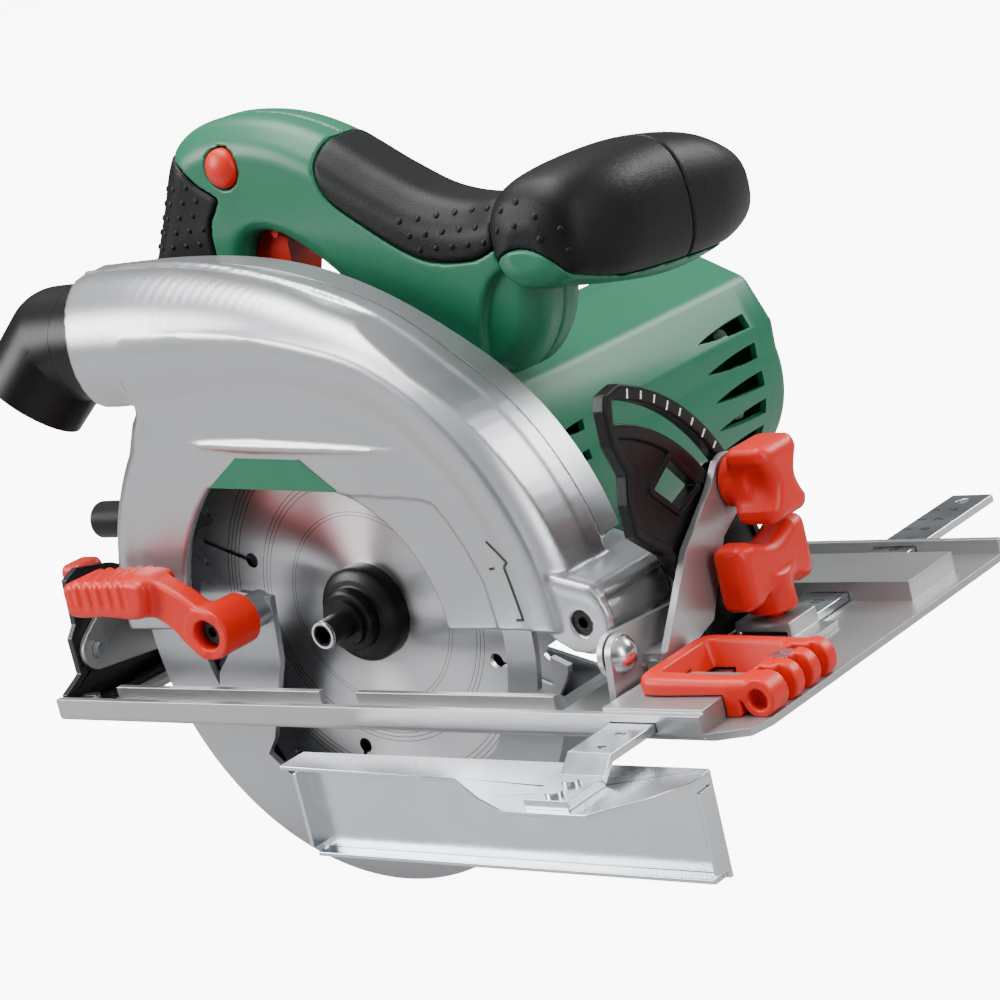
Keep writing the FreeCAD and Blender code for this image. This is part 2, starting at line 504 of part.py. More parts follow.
def leaf(angle, y0, y1, width):
    """Leaf-shaped air slit through the motor wall, pointed at y0 and widest at y1."""
    tip, end = V(0, y0, 0), V(0, 2 * y1 - y0, 0)
    sides = [Part.Arc(tip, V(0, y1, side * width / 2.0), end).toShape() for side in (-1, 1)]
    tool = Part.Face(Part.Wire([sides[0], sides[1]])).extrude(V(14, 0, 0)).common(box(-1, y0 - 1, -9, 15, y1, 9))
    tool.translate(V(MOTOR_R - 8, 0, 0))
    tool.rotate(V(0, 0, 0), V(0, 1, 0), -angle)
    tool.translate(V(MOTOR_X, 0, MOTOR_Z))
    return tool


def motor_housing():
    body = cut(motor_body(MOTOR_Y0, MOTOR_Y1), motor_body(MOTOR_Y0 - 1, MOTOR_Y1 + 1, MOTOR_WALL))
    big = [leaf(a, MOTOR_Y1 - 36, MOTOR_Y1 - 4, 5.6) for a in range(-30, 35, 15)]
    small = [leaf(a, 50, 66, 3.4) for a in (-6, 8, 22)]
    return cut(body, *big, *small)


def motor_cap():
    body = round_edges(motor_body(MOTOR_Y1, MOTOR_END_Y), 6.0, at_y(MOTOR_END_Y))
    body = cut(body, motor_body(MOTOR_Y1 - 1, MOTOR_Y1 + 4, MOTOR_WALL))
    body = fuse(body, cyl_y(MOTOR_X, MOTOR_Z, 12.0, MOTOR_Y1 - 6, MOTOR_Y1 + 6))
    body = cut(body, cyl_y(MOTOR_X, MOTOR_Z, 8.5, MOTOR_Y1 - 7, MOTOR_Y1 + 1))
    for k in range(10):
        x, z = polar(MOTOR_X, MOTOR_Z, 24.0, 36.0 * k)
        body = cut(body, cyl_y(x, z, 3.2, MOTOR_Y1 - 1, MOTOR_END_Y + 1))
    return body


HANDLE = [(-106, 104), (-102, 126), (-94.5, 144), (-85, 161), (-78, 174), (-71, 182), (-60, 186.5), (-45, 187.5),
          (-25, 184.5), (-5, 176.5), (16, 163), (33, 153.5), (50, 149), (64, 149), (73, 141), (74, 122), (68, 104),
          (54, 92), (30, 92), (5, 90), (-25, 80), (-60, 76), (-88, 80), (-101, 90)]
AUX_Y0, AUX_SEAM_Y, AUX_Y1 = 23.5, 78.0, 124.0
AUX_SECTIONS = [(AUX_Y0, 78, 134, 10.5, 10.5), (27, 78.5, 136, 15.5, 15), (34, 80, 137.5, 18.5, 18),
                (50, 83, 136.8, 20.5, 21), (76, 84, 134.5, 20.5, 23), (100, 85, 132.5, 19.5, 20.5),
                (117, 84, 130.3, 16.5, 15.3), (AUX_Y1, 83.5, 130, 12, 10.5)]
HAND_HOLE = [(-53, 112), (-49.5, 130), (-46, 143), (-38, 148.5), (-25, 145), (-6, 130), (2, 114), (-6, 102),
             (-26, 97), (-43, 99)]


def grip_body(y0, y1):
    """The whole grip between two planes, rounded where a plane is one of its sides."""
    body = smooth_slab(HANDLE, y0, y1)
    for side in (GRIP_Y - GRIP_HALF, GRIP_Y + GRIP_HALF):
        if side in (y0, y1):
            body = round_edges(body, 9.0, at_y(side))
    return body


def handle_half(y0, y1):
    body = cut(grip_body(y0, y1), smooth_slab(HAND_HOLE, y0 - 1, y1 + 1),
               motor_body(MOTOR_Y0, 80), cyl_y(MOTOR_X, MOTOR_Z, CHAMBER_R, 0, MOTOR_Y0),
               cyl_y(0, AXIS_Z, SPINDLE_CASE_R, 0, MOTOR_Y0), trigger_way(), lock_way(), switch_bay())
    return cut(body, grip_zone(), top_zone(), aux_core(),
               cyl_y(TRIGGER_X, TRIGGER_Z, TRIGGER_PIN_R, GRIP_Y - 11, GRIP_Y + 11))


def trigger_way():
    return box(-64, GRIP_Y - 8.3, 112, -26, GRIP_Y + 8.3, 160)


def switch_bay():
    return box(-70, GRIP_Y - 9, 146, -22, GRIP_Y + 9, 170)


def lock_way():
    return cyl_y(-46, 172, 7.3, GRIP_Y - 30, GRIP_Y - 4)


def trigger():
    """Finger lever with its pivot pin moulded through it."""
    body = slab([(-58, 143), (-57, 135), (-53, 127), (-45, 124), (-36, 128), (-33, 136), (-32.5, 150), (-47, 149.5)],
                "y", GRIP_Y - 8, GRIP_Y + 8)
    body = round_edges(body, 2.0, lambda e: e.BoundBox.YLength > 10 and e.BoundBox.ZMax < 140)
    return fuse(body, cyl_y(TRIGGER_X, TRIGGER_Z, TRIGGER_PIN_R - PIN_FIT, GRIP_Y - 10.8, GRIP_Y + 10.8))


def switch_module():
    return box(-64, GRIP_Y - 8.9, 152.5, -30, GRIP_Y + 8.9, 163.5)


def lock_button():
    body = cyl_y(-46, 172, 7.0, GRIP_Y - 20.5, GRIP_Y - 9.2)
    return round_edges(body, 2.0, at_y(GRIP_Y - 20.5))


def grip_zone():
    return slab([(-130, 96), (-62, 102), (-59, 120), (-58.5, 149), (-57, 154.5), (-52.5, 160), (-52.5, 163), (-60, 167.5),
                 (-68, 175), (-100, 186)], "y", 0, 100)


def grip_rear():
    """Soft rear grip, a sleeve over the back of the handle."""
    body = grip_body(GRIP_Y - GRIP_HALF, GRIP_Y + GRIP_HALF).common(grip_zone())
    return cut(body, smooth_slab(HAND_HOLE, GRIP_Y - 30, GRIP_Y + 30), trigger_way(), switch_bay())


def top_zone():
    return slab([(2, 200), (-3, 178), (-6, 170), (-5, 162.5), (-1, 155.5), (10, 147), (22, 138.8), (32, 133.7),
                 (42.5, 131.8), (54, 132), (63, 134), (90, 134), (90, 200)], "y", 0, 100)


def grip_top():
    body = grip_body(GRIP_Y - GRIP_HALF, GRIP_Y + GRIP_HALF).common(top_zone())
    return cut(body, smooth_slab(HAND_HOLE, GRIP_Y - 30, GRIP_Y + 30), aux_core())


def plump(y, x, z, half_w, half_h):
    """Closed rounded section across the auxiliary handle."""
    pts = []
    for i in range(12):
        c, s = math.cos(math.radians(30 * i)), math.sin(math.radians(30 * i))
        pts.append(V(x + half_w * math.copysign(abs(c) ** 0.8, c), y, z + half_h * math.copysign(abs(s) ** 0.8, s)))
    curve = Part.BSplineCurve()
    curve.interpolate(pts, PeriodicFlag=True)
    return Part.Wire(curve.toShape())


def aux_core():
    """The plump auxiliary handle that reaches over the motor."""
    return Part.makeLoft([plump(*s) for s in AUX_SECTIONS], True)


def aux_lower():
    """What the green shell takes of the handle: its belly, and a thumb-shaped lobe on the near end."""
    belly = slab([(AUX_Y0 - 5, 119), (AUX_Y0 + 26, 117), (AUX_Y1 + 5, 113), (AUX_Y1 + 5, 90), (AUX_Y0 - 5, 90)],
                 "x", 40, 130)
    return fuse(belly, cyl_y(75, 118, 16.5, AUX_Y0 - 5, AUX_Y0 + 22))


def aux_shell():
    return aux_core().common(aux_lower())


def aux_pad(y0, y1):
    return cut(aux_core().common(box(0, y0, 0, 200, y1, 300)), aux_lower())


def outlet_way():
    """Direction the dust leaves the elbow."""
    return V(-math.cos(BEND), -math.sin(BEND) * math.sin(ELBOW_ROLL), -math.sin(BEND) * math.cos(ELBOW_ROLL))


def elbow_run(radius, lead, outlet):
    """Straight run out of the guard, a ball at the bend, and the outlet."""
    return fuse(cyl_x(TUBE_Y, TUBE_Z, radius, BEND_X, TUBE_X + lead),
                Part.makeSphere(radius, V(BEND_X, TUBE_Y, TUBE_Z)), outlet)


def dust_elbow():
    """Rubber elbow pushed into the tube of the guard, with a round bore for a vacuum hose."""
    corner = V(BEND_X, TUBE_Y, TUBE_Z)
    seat = cyl_x(TUBE_Y, TUBE_Z, TUBE_R - TUBE_WALL - ELBOW_FIT, TUBE_X - 12, TUBE_X + 8)
    body = elbow_run(ELBOW_R, 8.0, Part.makeCone(ELBOW_R, OUTLET_R, OUTLET_L, corner, outlet_way()))
    duct = elbow_run(DUCT_R, 9.0, Part.makeCylinder(DUCT_R, OUTLET_L, corner, outlet_way()))
    port = Part.makeCylinder(PORT_R, PORT_L + 5, corner + outlet_way() * (OUTLET_L - PORT_L), outlet_way())
    return cut(fuse(body, seat), duct, port)


def cord_sleeve():
    outer = fuse(cyl_x(SLEEVE_Y, SLEEVE_Z, 7.0, -165, -96), cyl_x(SLEEVE_Y, SLEEVE_Z, 9.5, -104, -92))
    return cut(outer, cyl_x(SLEEVE_Y, SLEEVE_Z, 3.6, -170, -90))


def rear_bridge():
    """Green lower rear housing that carries the sleeve and ties the handle to the motor."""
    body = slab([(-96, 36), (-30, 30), (-22, 50), (-18, 82), (-60, 78), (-92, 80), (-98, 60)], "y",
                GRIP_Y - GRIP_HALF + 3, GRIP_Y + GRIP_HALF - 3)
    body = round_edges(body, 5.0, lambda e: e.BoundBox.YLength > 10 and e.BoundBox.XMax < -25)
    body = cut(body, smooth_slab(HANDLE, 0, 90), motor_body(MOTOR_Y0, 90),
               cyl_y(MOTOR_X, MOTOR_Z, CHAMBER_R, 0, MOTOR_Y0), cyl_y(0, AXIS_Z, SPINDLE_CASE_R, 0, MOTOR_Y0),
               cyl_x(SLEEVE_Y, SLEEVE_Z, 9.5, -110, -92))
    return body


# ---------------------------------------------------------------- spindle group

def blade():
    pts = []
    pitch = 360.0 / TEETH
    for k in range(TEETH):
        a = -k * pitch
        pts += [polar(0, AXIS_Z, BLADE_R, a), polar(0, AXIS_Z, BLADE_R - 1.2, a - pitch * 0.22),
                polar(0, AXIS_Z, BLADE_R - 3.0, a - pitch * 0.50), polar(0, AXIS_Z, BLADE_R - 9.0, a - pitch * 0.72),
                polar(0, AXIS_Z, BLADE_R - 9.5, a - pitch * 0.84), polar(0, AXIS_Z, BLADE_R - 7.5, a - pitch * 0.93)]
    body = slab(pts, "y", -BLADE_T / 2, BLADE_T / 2)
    body = cut(body, cyl_y(0, AXIS_Z, NOSE_R + BLADE_FIT, -5, 5))
    for k in range(4):
        slit = box(52, -5, -0.8, 74, 5, 0.8)
        hole = cyl_y(52, 0, 2.6, -5, 5)
        tool = fuse(slit, hole)
        tool.rotate(V(0, 0, 0), V(0, 1, 0), 90 * k + 20)
        tool.translate(V(0, 0, AXIS_Z))
        body = cut(body, tool)
    return body


def blade_tips():
    """Carbide tips brazed in front of each tooth."""
    out = []
    pitch = 360.0 / TEETH
    for k in range(TEETH):
        a = -k * pitch
        tip = [polar(0, AXIS_Z, BLADE_R, a - 0.6), polar(0, AXIS_Z, BLADE_R - 6.8, a + 0.2),
               polar(0, AXIS_Z, BLADE_R - 6.8, a + 2.2), polar(0, AXIS_Z, BLADE_R, a + 1.2)]
        out.append(slab(tip, "y", -TOOTH_T / 2, TOOTH_T / 2))
    return out


def saw_blade():
    return fuse(blade(), *blade_tips())


def outer_flange():
    body = cyl_y(0, AXIS_Z, FLANGE_R, -8.5, -BLADE_T / 2)
    body = fuse(body, cyl_y(0, AXIS_Z, 10.5, FLANGE_FACE_Y, -8.5))
    body = cut(body, ring_y(0, AXIS_Z, 10.5, 12.5, -10, -6.0))
    return cut(body, cyl_y(0, AXIS_Z, CLAMP_R + 0.1, -30, 5), cyl_y(0, AXIS_Z, NOSE_R + 0.1, -3.2, 5))


def clamp_screw():
    body = fuse(cyl_y(0, AXIS_Z, CLAMP_HEAD_R, CLAMP_END_Y, -15.1), cyl_y(0, AXIS_Z, 8.0, -15.1, FLANGE_FACE_Y),
                cyl_y(0, AXIS_Z, CLAMP_R, FLANGE_FACE_Y, 10))
    socket = slab([polar(0, AXIS_Z, 3.4, 60 * i) for i in range(6)], "y", CLAMP_END_Y - 1, -19)
    return cut(body, socket)


def spindle():
    body = fuse(cyl_y(0, AXIS_Z, NOSE_R, -3.0, 1.0), cyl_y(0, AXIS_Z, SPINDLE_R, 1.0, SPINDLE_END_Y))
    return cut(body, cyl_y(0, AXIS_Z, CLAMP_R, -10, 12))


def inner_flange():
    body = fuse(cyl_y(0, AXIS_Z, FLANGE_R, BLADE_T / 2, 4.0), cyl_y(0, AXIS_Z, 12.5, 4.0, 7.0))
    return cut(body, cyl_y(0, AXIS_Z, SPINDLE_R, 0.9, 10), cyl_y(0, AXIS_Z, NOSE_R, 0, 1.0))


def gear_outline(teeth, x, z, tooth_deg):
    """Involute teeth with their flanks thinned by FLANK_GAP; one tooth centred at tooth_deg."""
    rp = MODULE * teeth / 2.0
    rb, ra, rf = rp * math.cos(PRESSURE), rp + ADDENDUM * MODULE, rp - DEDENDUM * MODULE
    inv = lambda t: math.tan(t) - t
    half = (math.pi * MODULE / 2.0 - FLANK_GAP) / 2.0 / rp
    flank = []
    start = max(rb, rf)
    for i in range(5):
        r = start + (ra - start) * i / 4.0
        t = math.acos(min(1.0, rb / r))
        flank.append((r, half + inv(PRESSURE) - inv(t)))
    if rf < start:
        flank = [(rf, flank[0][1] * 0.96)] + flank
    pts = []
    for k in range(teeth):
        c = tooth_deg + 360.0 * k / teeth
        pts += [polar(x, z, r, c - math.degrees(a)) for r, a in flank]
        pts += [polar(x, z, r, c + math.degrees(a)) for r, a in flank[::-1]]
    return pts


def spindle_gear():
    body = slab(gear_outline(GEAR_TEETH, 0, AXIS_Z, MESH_DEG), "y", GEAR_Y0, GEAR_Y1)
    return cut(body, cyl_y(0, AXIS_Z, SPINDLE_R, 0, 50))


def armature_shaft():
    pinion = slab(gear_outline(PINION_TEETH, MOTOR_X, MOTOR_Z, MESH_DEG + 180.0 + 18.0), "y", GEAR_Y0 - 0.5, GEAR_Y1 + 1)
    return fuse(pinion, cyl_y(MOTOR_X, MOTOR_Z, SHAFT_R, GEAR_Y1 + 0.9, MOTOR_Y1 + 0.5))


def ball_bearings():
    """Two bearings on the spindle and two on the armature."""
    return Part.makeCompound([ring_y(0, AXIS_Z, SPINDLE_R + RUN_FIT, 13.0, 14.2, 19.2),
                              ring_y(0, AXIS_Z, SPINDLE_R + RUN_FIT, 10.0, 31.0, 36.5),
                              ring_y(MOTOR_X, MOTOR_Z, SHAFT_R + RUN_FIT, 8.5, 32.5, 38.0),
                              ring_y(MOTOR_X, MOTOR_Z, SHAFT_R + RUN_FIT, 8.5, MOTOR_Y1 - 5.5, MOTOR_Y1)])


def cooling_fan():
    disc = cyl_y(MOTOR_X, MOTOR_Z, 32.0, 46, 48)
    out = fuse(disc, cyl_y(MOTOR_X, MOTOR_Z, 9.0, 46, 60))
    for k in range(11):
        fin = box(8.5, 47, -0.9, 31.0, 60, 0.9)
        fin.rotate(V(8.5, 0, 0), V(0, 1, 0), 28)
        fin.rotate(V(0, 0, 0), V(0, 1, 0), 360.0 * k / 11)
        fin.translate(V(MOTOR_X, 0, MOTOR_Z))
        out = out.fuse(fin)
    return cut(out, cyl_y(MOTOR_X, MOTOR_Z, SHAFT_R, 0, 200))


def armature_core():
    body = cyl_y(MOTOR_X, MOTOR_Z, 20.0, 72, 112)
    for k in range(12):
        x, z = polar(MOTOR_X, MOTOR_Z, 16.5, 30.0 * k)
        gap = box(16, 70, -0.9, 22, 114, 0.9)
        gap.rotate(V(0, 0, 0), V(0, 1, 0), -30.0 * k)
        gap.translate(V(MOTOR_X, 0, MOTOR_Z))
        body = cut(body, gap, cyl_y(x, z, 2.4, 70, 114))
    return cut(body, cyl_y(MOTOR_X, MOTOR_Z, SHAFT_R, 0, 200))


def armature_coils():
    ends = [cut(Part.makeTorus(12.0, 5.0, V(MOTOR_X, y, MOTOR_Z), V(0, 1, 0)),
                cyl_y(MOTOR_X, MOTOR_Z, 40, y if y < 90 else y - 10, y + 10 if y < 90 else y)) for y in (72.0, 112.0)]
    wires = []
    for k in range(12):
        x, z = polar(MOTOR_X, MOTOR_Z, 16.5, 30.0 * k)
        wires.append(cyl_y(x, z, 2.3, 71.5, 112.5))
    return fuse(*ends, *wires)


def commutator():
    body = cyl_y(MOTOR_X, MOTOR_Z, 11.0, 124, 138)
    for k in range(24):
        gap = box(10.2, 123, -0.25, 12, 139, 0.25)
        gap.rotate(V(0, 0, 0), V(0, 1, 0), 15.0 * k)
        gap.translate(V(MOTOR_X, 0, MOTOR_Z))
        body = cut(body, gap)
    return cut(body, cyl_y(MOTOR_X, MOTOR_Z, SHAFT_R, 0, 200))


def stator_core():
    outer = cyl_y(MOTOR_X, MOTOR_Z, MOTOR_R - MOTOR_WALL, 70, 114)
    body = cut(outer, cyl_y(MOTOR_X, MOTOR_Z, 20.8, 60, 130))
    for s in (-1, 1):
        pocket = box(MOTOR_X + (21 if s > 0 else -33), 60, MOTOR_Z - 14, MOTOR_X + (33 if s > 0 else -21), 130,
                     MOTOR_Z + 14)
        body = cut(body, pocket)
    return body


def field_coils():
    out = []
    for s in (-1, 1):
        x0, x1 = (MOTOR_X + 22.0, MOTOR_X + 32.5) if s > 0 else (MOTOR_X - 32.5, MOTOR_X - 22.0)
        out.append(box(x0, 64, MOTOR_Z - 13.5, x1, 120, MOTOR_Z + 13.5))
    return Part.makeCompound(out)


def brush_holders():
    """Brass guides on either side of the commutator, each with its carbon brush."""
    out = []
    for s in (-1, 1):
        def span(a, b):
            return sorted((MOTOR_Z + s * a, MOTOR_Z + s * b))
        z0, z1 = span(12.2, 36.0)
        out.append(cut(box(MOTOR_X - 6, 126, z0, MOTOR_X + 6, 136.5, z1),
                       box(MOTOR_X - 3.5, 128, z0 - 1, MOTOR_X + 3.5, 134.5, z1 + 1)))
        z0, z1 = span(11.1, 28.0)
        out.append(box(MOTOR_X - 3.5, 128, z0, MOTOR_X + 3.5, 134.5, z1))
    return Part.makeCompound(out)


def spindle_lock():
    """Sprung button on the front of the gear case that holds the spindle while the blade is changed."""
    x = MOTOR_X + CHAMBER_R
    return fuse(cyl_x(LOCK_Y, MOTOR_Z, 3.0, x - 6, x + 4.2), cyl_x(LOCK_Y, MOTOR_Z, 5.5, x + 4.2, x + 8))


# ---------------------------------------------------------------- lower guard group

def lower_guard():
    def ring_part(r_in, r_out, y0, y1, a0, a1):
        return cut(slab(sector(0, AXIS_Z, r_out + 6, a0, a1), "y", y0, y1).common(cyl_y(0, AXIS_Z, r_out, y0, y1)),
                   cyl_y(0, AXIS_Z, r_in, y0 - 1, y1 + 1))
    y_in = LOWER_Y0 + LOWER_WALL
    near = ring_part(LOWER_INNER_R, LOWER_R, LOWER_Y0, y_in, 181, 344)
    band = ring_part(LOWER_R - LOWER_WALL, LOWER_R, LOWER_Y0, LOWER_Y1, 181, 344)
    tail = ring_part(LOWER_INNER_R, 79, LOWER_Y0, y_in, 343, 360)
    far = ring_part(BOSS_R + RUN_FIT, LOWER_R, LOWER_Y1 - LOWER_WALL, LOWER_Y1 - 0.3, 181, 344)
    hub = ring_y(0, AXIS_Z, BOSS_R + RUN_FIT, 34.0, LOWER_Y1 - LOWER_WALL, LOWER_Y1 - 0.3)
    lug = slab([(-29, 35), (-43, 37), (-52, 18), (-62, 8), (-70, -14), (-54, -28), (-44, -16), (-32, 12)], "y",
               LOWER_Y0, y_in)
    post = cyl_y(HUB_X, HUB_Z, 6.0, -24.0, y_in)
    body = fuse(near, band, tail, far, hub, lug, post)
    return cut(body, cyl_y(HUB_X, HUB_Z, 2.0, -40, y_in - 1.0))


def guard_lever():
    arm = [(-30, 38), (-45, 46), (-56, 52), (-92, 52), (-96, 46), (-94, 38), (-62, 37), (-50, 30), (-40, 22)]
    body = slab(arm, "y", -42, -33)
    pad = slab([(-58, 52), (-92, 52), (-96, 46), (-94, 38), (-62, 37)], "y", -47, -29)
    hub = cyl_y(HUB_X, HUB_Z, 9.0, -42, -24.2)
    body = round_edges(fuse(body, pad), 1.5, lambda e: e.BoundBox.YLength > 8 and e.BoundBox.XMax < -50)
    body = fuse(body, hub)
    return cut(body, cyl_y(HUB_X, HUB_Z, 5.0, -45, -36), cyl_y(HUB_X, HUB_Z, 2.0, -45, -20))


def lever_screw():
    body = fuse(cyl_y(HUB_X, HUB_Z, 2.0, -36, -16), cyl_y(HUB_X, HUB_Z, 4.0, -38.5, -36))
    return cut(body, slab([polar(HUB_X, HUB_Z, 2.0, 60 * i) for i in range(6)], "y", -40, -37))


def guard_spring():
    """Return coil round the spindle boss, with a leg at each end, drawn at rest."""
    turns, pitch, wire = 2.0, 0.95, 0.4
    r = BOSS_R + wire + 0.1
    y0 = LOWER_Y1 - LOWER_WALL - wire - 0.05 - turns * pitch
    coil = Part.makeHelix(pitch, turns * pitch, r)
    coil.rotate(V(0, 0, 0), V(1, 0, 0), -90)
    coil.translate(V(0, y0, AXIS_Z))
    shell = Part.Wire(coil.Edges).makePipeShell(
        [Part.Wire(Part.makeCircle(wire, V(r, y0, AXIS_Z), V(0, 0, 1)))], True, True)
    legs = [Part.makeCylinder(wire, 7.0, V(r, y, AXIS_Z), V(0, 0, way)) for y, way in ((y0, 1), (y0 + turns * pitch, -1))]
    return fuse(shell, *legs)


# ---------------------------------------------------------------- parallel guide group

def fence_bar():
    half = BAR_W / 2
    body = box(BAR_X - half, -66, BAR_Z, BAR_X + half, 164, BAR_Z + BAR_T)
    step = slab([(-66, BAR_Z), (-66, BAR_Z + BAR_T), (-71, -2.2 + BAR_T), (-89, -2.2 + BAR_T), (-89, -2.2),
                 (-71.5, -2.2)], "x", BAR_X - half, BAR_X + half)
    body = fuse(body, step)
    return cut(body, cyl_z(BAR_X, 157, 2.5, -10, 20), *[cyl_z(BAR_X, y, 1.5, -10, 20) for y in FENCE_RIVETS])


def fence_panel():
    t = 1.5
    top = -2.2 - t
    outline = [(FENCE_X0, FENCE_Y), (FENCE_X0, -68), (84, -71), (104, -84), (118, -91), (148, -91), (160, -78),
               (FENCE_X1, -66), (FENCE_X1, FENCE_Y)]
    flange = slab(outline, "z", top, top + t)
    panel = box(FENCE_X0, FENCE_Y, FENCE_Z0, FENCE_X1, FENCE_Y + t, top + t)
    lip = box(FENCE_X0 + 2, FENCE_Y - 5, FENCE_Z0, FENCE_X1 - 2, FENCE_Y + t, FENCE_Z0 + t)
    ends = [box(x, FENCE_Y - 5.5, FENCE_Z0 + 3, x + t, FENCE_Y + t, top - 3) for x in (FENCE_X0, FENCE_X1 - t)]
    body = fuse(flange, panel, lip, *ends)
    return cut(body, *[cyl_z(BAR_X, y, 1.5, -10, 10) for y in FENCE_RIVETS])


def fence_rivets():
    low, high = -2.2 - 1.5, -2.2 + BAR_T
    return Part.makeCompound([fuse(cyl_z(BAR_X, y, 1.5, low, high), cyl_z(BAR_X, y, 3.0, high, high + 1.2))
                              for y in FENCE_RIVETS])


def fence_knob():
    """Wing knob moulded on the screw that presses the guide bar down."""
    body = round_edges(slab(wing_profile(CLAMP_Y, 26.5, 19.0, 10.5, 6.0), "x", BAR_X - 6, BAR_X + 6), 2.5,
                       lambda e: e.BoundBox.XLength < 1e-3)
    neck = cyl_z(BAR_X, CLAMP_Y, 8.0, 11.5, 20)
    return fuse(body, neck, cyl_z(BAR_X, CLAMP_Y, BOLT_R, BAR_Z + BAR_T + 0.05, 24))


def housing_screws():
    out = []
    for x, z in HANDLE_SCREWS:
        y = GRIP_Y + GRIP_HALF
        one = cyl_y(x, z, 3.4, y - 4.0, y - 1.6)
        out.append(cut(one, slab([polar(x, z, 1.7, 60 * i) for i in range(6)], "y", y - 2.8, y)))
    return out


def handle_far():
    body = handle_half(GRIP_Y, GRIP_Y + GRIP_HALF)
    for x, z in HANDLE_SCREWS:
        body = cut(body, cyl_y(x, z, 3.4, GRIP_Y + GRIP_HALF - 4.0, GRIP_Y + GRIP_HALF + 2))
    return body


NODES = {
    "foot_plate": foot_plate, "rear_bevel_bracket": rear_bracket, "bevel_scale": bevel_scale,
    "foot_screws": lambda: Part.makeCompound([screws(SCALE_SCREWS, SHEET + 3.0, 0.3),
                                              screws(REAR_SCREWS, SHEET + 2.0, 0.3)]),
    "cut_line_sight": cut_line_sight, "sight_screw": lambda: screws([(163, -6)], 11.0, SHEET + 0.1, 2.0, 4.0, 1.8),
    "pivot_rivets": pivot_rivets, "fence_clamp_bridge": clamp_bridge,
    "tilt_bracket_front": tilt_bracket_front, "stop_screw": stop_screw,
    "tilt_bracket_rear": tilt_bracket_rear, "depth_link": depth_link,
    "depth_pin": depth_pin, "bevel_bolts": bevel_bolts,
    "bevel_knob_front": bevel_knob, "bevel_wing_rear": bevel_wing_rear,
    "upper_guard": upper_guard, "gear_case": gear_case, "depth_bolt": depth_bolt, "depth_lever": depth_lever,
    "motor_housing": motor_housing, "motor_cap": motor_cap,
    "handle_near": lambda: handle_half(GRIP_Y - GRIP_HALF, GRIP_Y), "handle_far": handle_far,
    "grip_rear": grip_rear, "grip_top": grip_top, "trigger": trigger, "lock_off_button": lock_button,
    "switch_module": switch_module, "aux_handle_shell": aux_shell,
    "aux_handle_pad": lambda: aux_pad(AUX_Y0 - 1, AUX_SEAM_Y),
    "aux_handle_cap": lambda: aux_pad(AUX_SEAM_Y, AUX_Y1 + 1),
    "dust_elbow": dust_elbow, "cord_sleeve": cord_sleeve, "rear_housing": rear_bridge,
    "housing_screws": lambda: Part.makeCompound(housing_screws()),
    "saw_blade": saw_blade, "outer_flange": outer_flange, "clamp_screw": clamp_screw, "spindle_shaft": spindle,
    "inner_flange": inner_flange, "spindle_gear": spindle_gear, "ball_bearings": ball_bearings,
    "armature_shaft": armature_shaft, "cooling_fan": cooling_fan,
    "armature_core": armature_core, "armature_coils": armature_coils, "commutator": commutator,
    "stator_core": stator_core, "field_coils": field_coils, "brush_holders": brush_holders,
    "spindle_lock_button": spindle_lock,
    "lower_guard": lower_guard, "guard_lever": guard_lever, "lever_screw": lever_screw,
    "guard_spring": guard_spring,
    "fence_bar": fence_bar, "fence_panel": fence_panel, "fence_rivets": fence_rivets, "fence_knob": fence_knob,
}

for name, make in NODES.items():
    make().exportStep("parts/%s.step" % name)
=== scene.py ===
import json
import math

import bmesh
import bpy
import numpy as np
from mathutils import Matrix, Vector


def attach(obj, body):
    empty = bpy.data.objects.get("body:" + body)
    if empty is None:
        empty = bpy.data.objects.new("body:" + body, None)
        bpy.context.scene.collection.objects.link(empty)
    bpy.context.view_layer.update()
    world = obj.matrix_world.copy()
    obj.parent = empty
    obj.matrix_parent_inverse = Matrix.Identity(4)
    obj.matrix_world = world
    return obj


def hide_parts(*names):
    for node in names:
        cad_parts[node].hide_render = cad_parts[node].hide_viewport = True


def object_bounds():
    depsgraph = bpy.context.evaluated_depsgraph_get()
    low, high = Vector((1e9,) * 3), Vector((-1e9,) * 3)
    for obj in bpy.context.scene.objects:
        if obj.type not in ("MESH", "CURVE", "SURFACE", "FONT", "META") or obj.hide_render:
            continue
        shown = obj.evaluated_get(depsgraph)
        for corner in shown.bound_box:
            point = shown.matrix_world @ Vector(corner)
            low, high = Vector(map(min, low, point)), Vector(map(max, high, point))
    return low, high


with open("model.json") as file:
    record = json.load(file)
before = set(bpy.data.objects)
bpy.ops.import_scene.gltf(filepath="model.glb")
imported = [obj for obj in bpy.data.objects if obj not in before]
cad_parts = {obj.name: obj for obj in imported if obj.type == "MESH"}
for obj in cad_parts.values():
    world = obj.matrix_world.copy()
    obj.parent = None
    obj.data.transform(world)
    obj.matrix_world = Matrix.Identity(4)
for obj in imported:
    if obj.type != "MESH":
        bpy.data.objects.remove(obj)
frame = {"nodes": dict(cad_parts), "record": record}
cad_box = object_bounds()
nodes = frame["nodes"]
body_of = {n: b for b, names in frame["record"]["behaviour"]["bodies"].items() for n in names}

# ---------------------------------------------------------------- studio
# A plain pale floor under the blade, a pale room, and four soft boxes. The camera looks down
# on the open side of the blade from the front right, with the saw leaning a little.
cam_data = bpy.data.cameras.new("camera")
cam_data.lens, cam_data.sensor_width = 100.7, 36.0
cam_data.clip_start, cam_data.clip_end = 0.01, 50.0
camera = bpy.data.objects.new("camera", cam_data)
bpy.context.collection.objects.link(camera)
camera.matrix_world = Matrix(((0.7697, 0.0276, 0.6379, 0.6220), (0.5978, 0.3198, -0.7351, -0.6418),
                              (-0.2242, 0.9471, 0.2297, 0.2614), (0, 0, 0, 1)))
bpy.context.scene.camera = camera


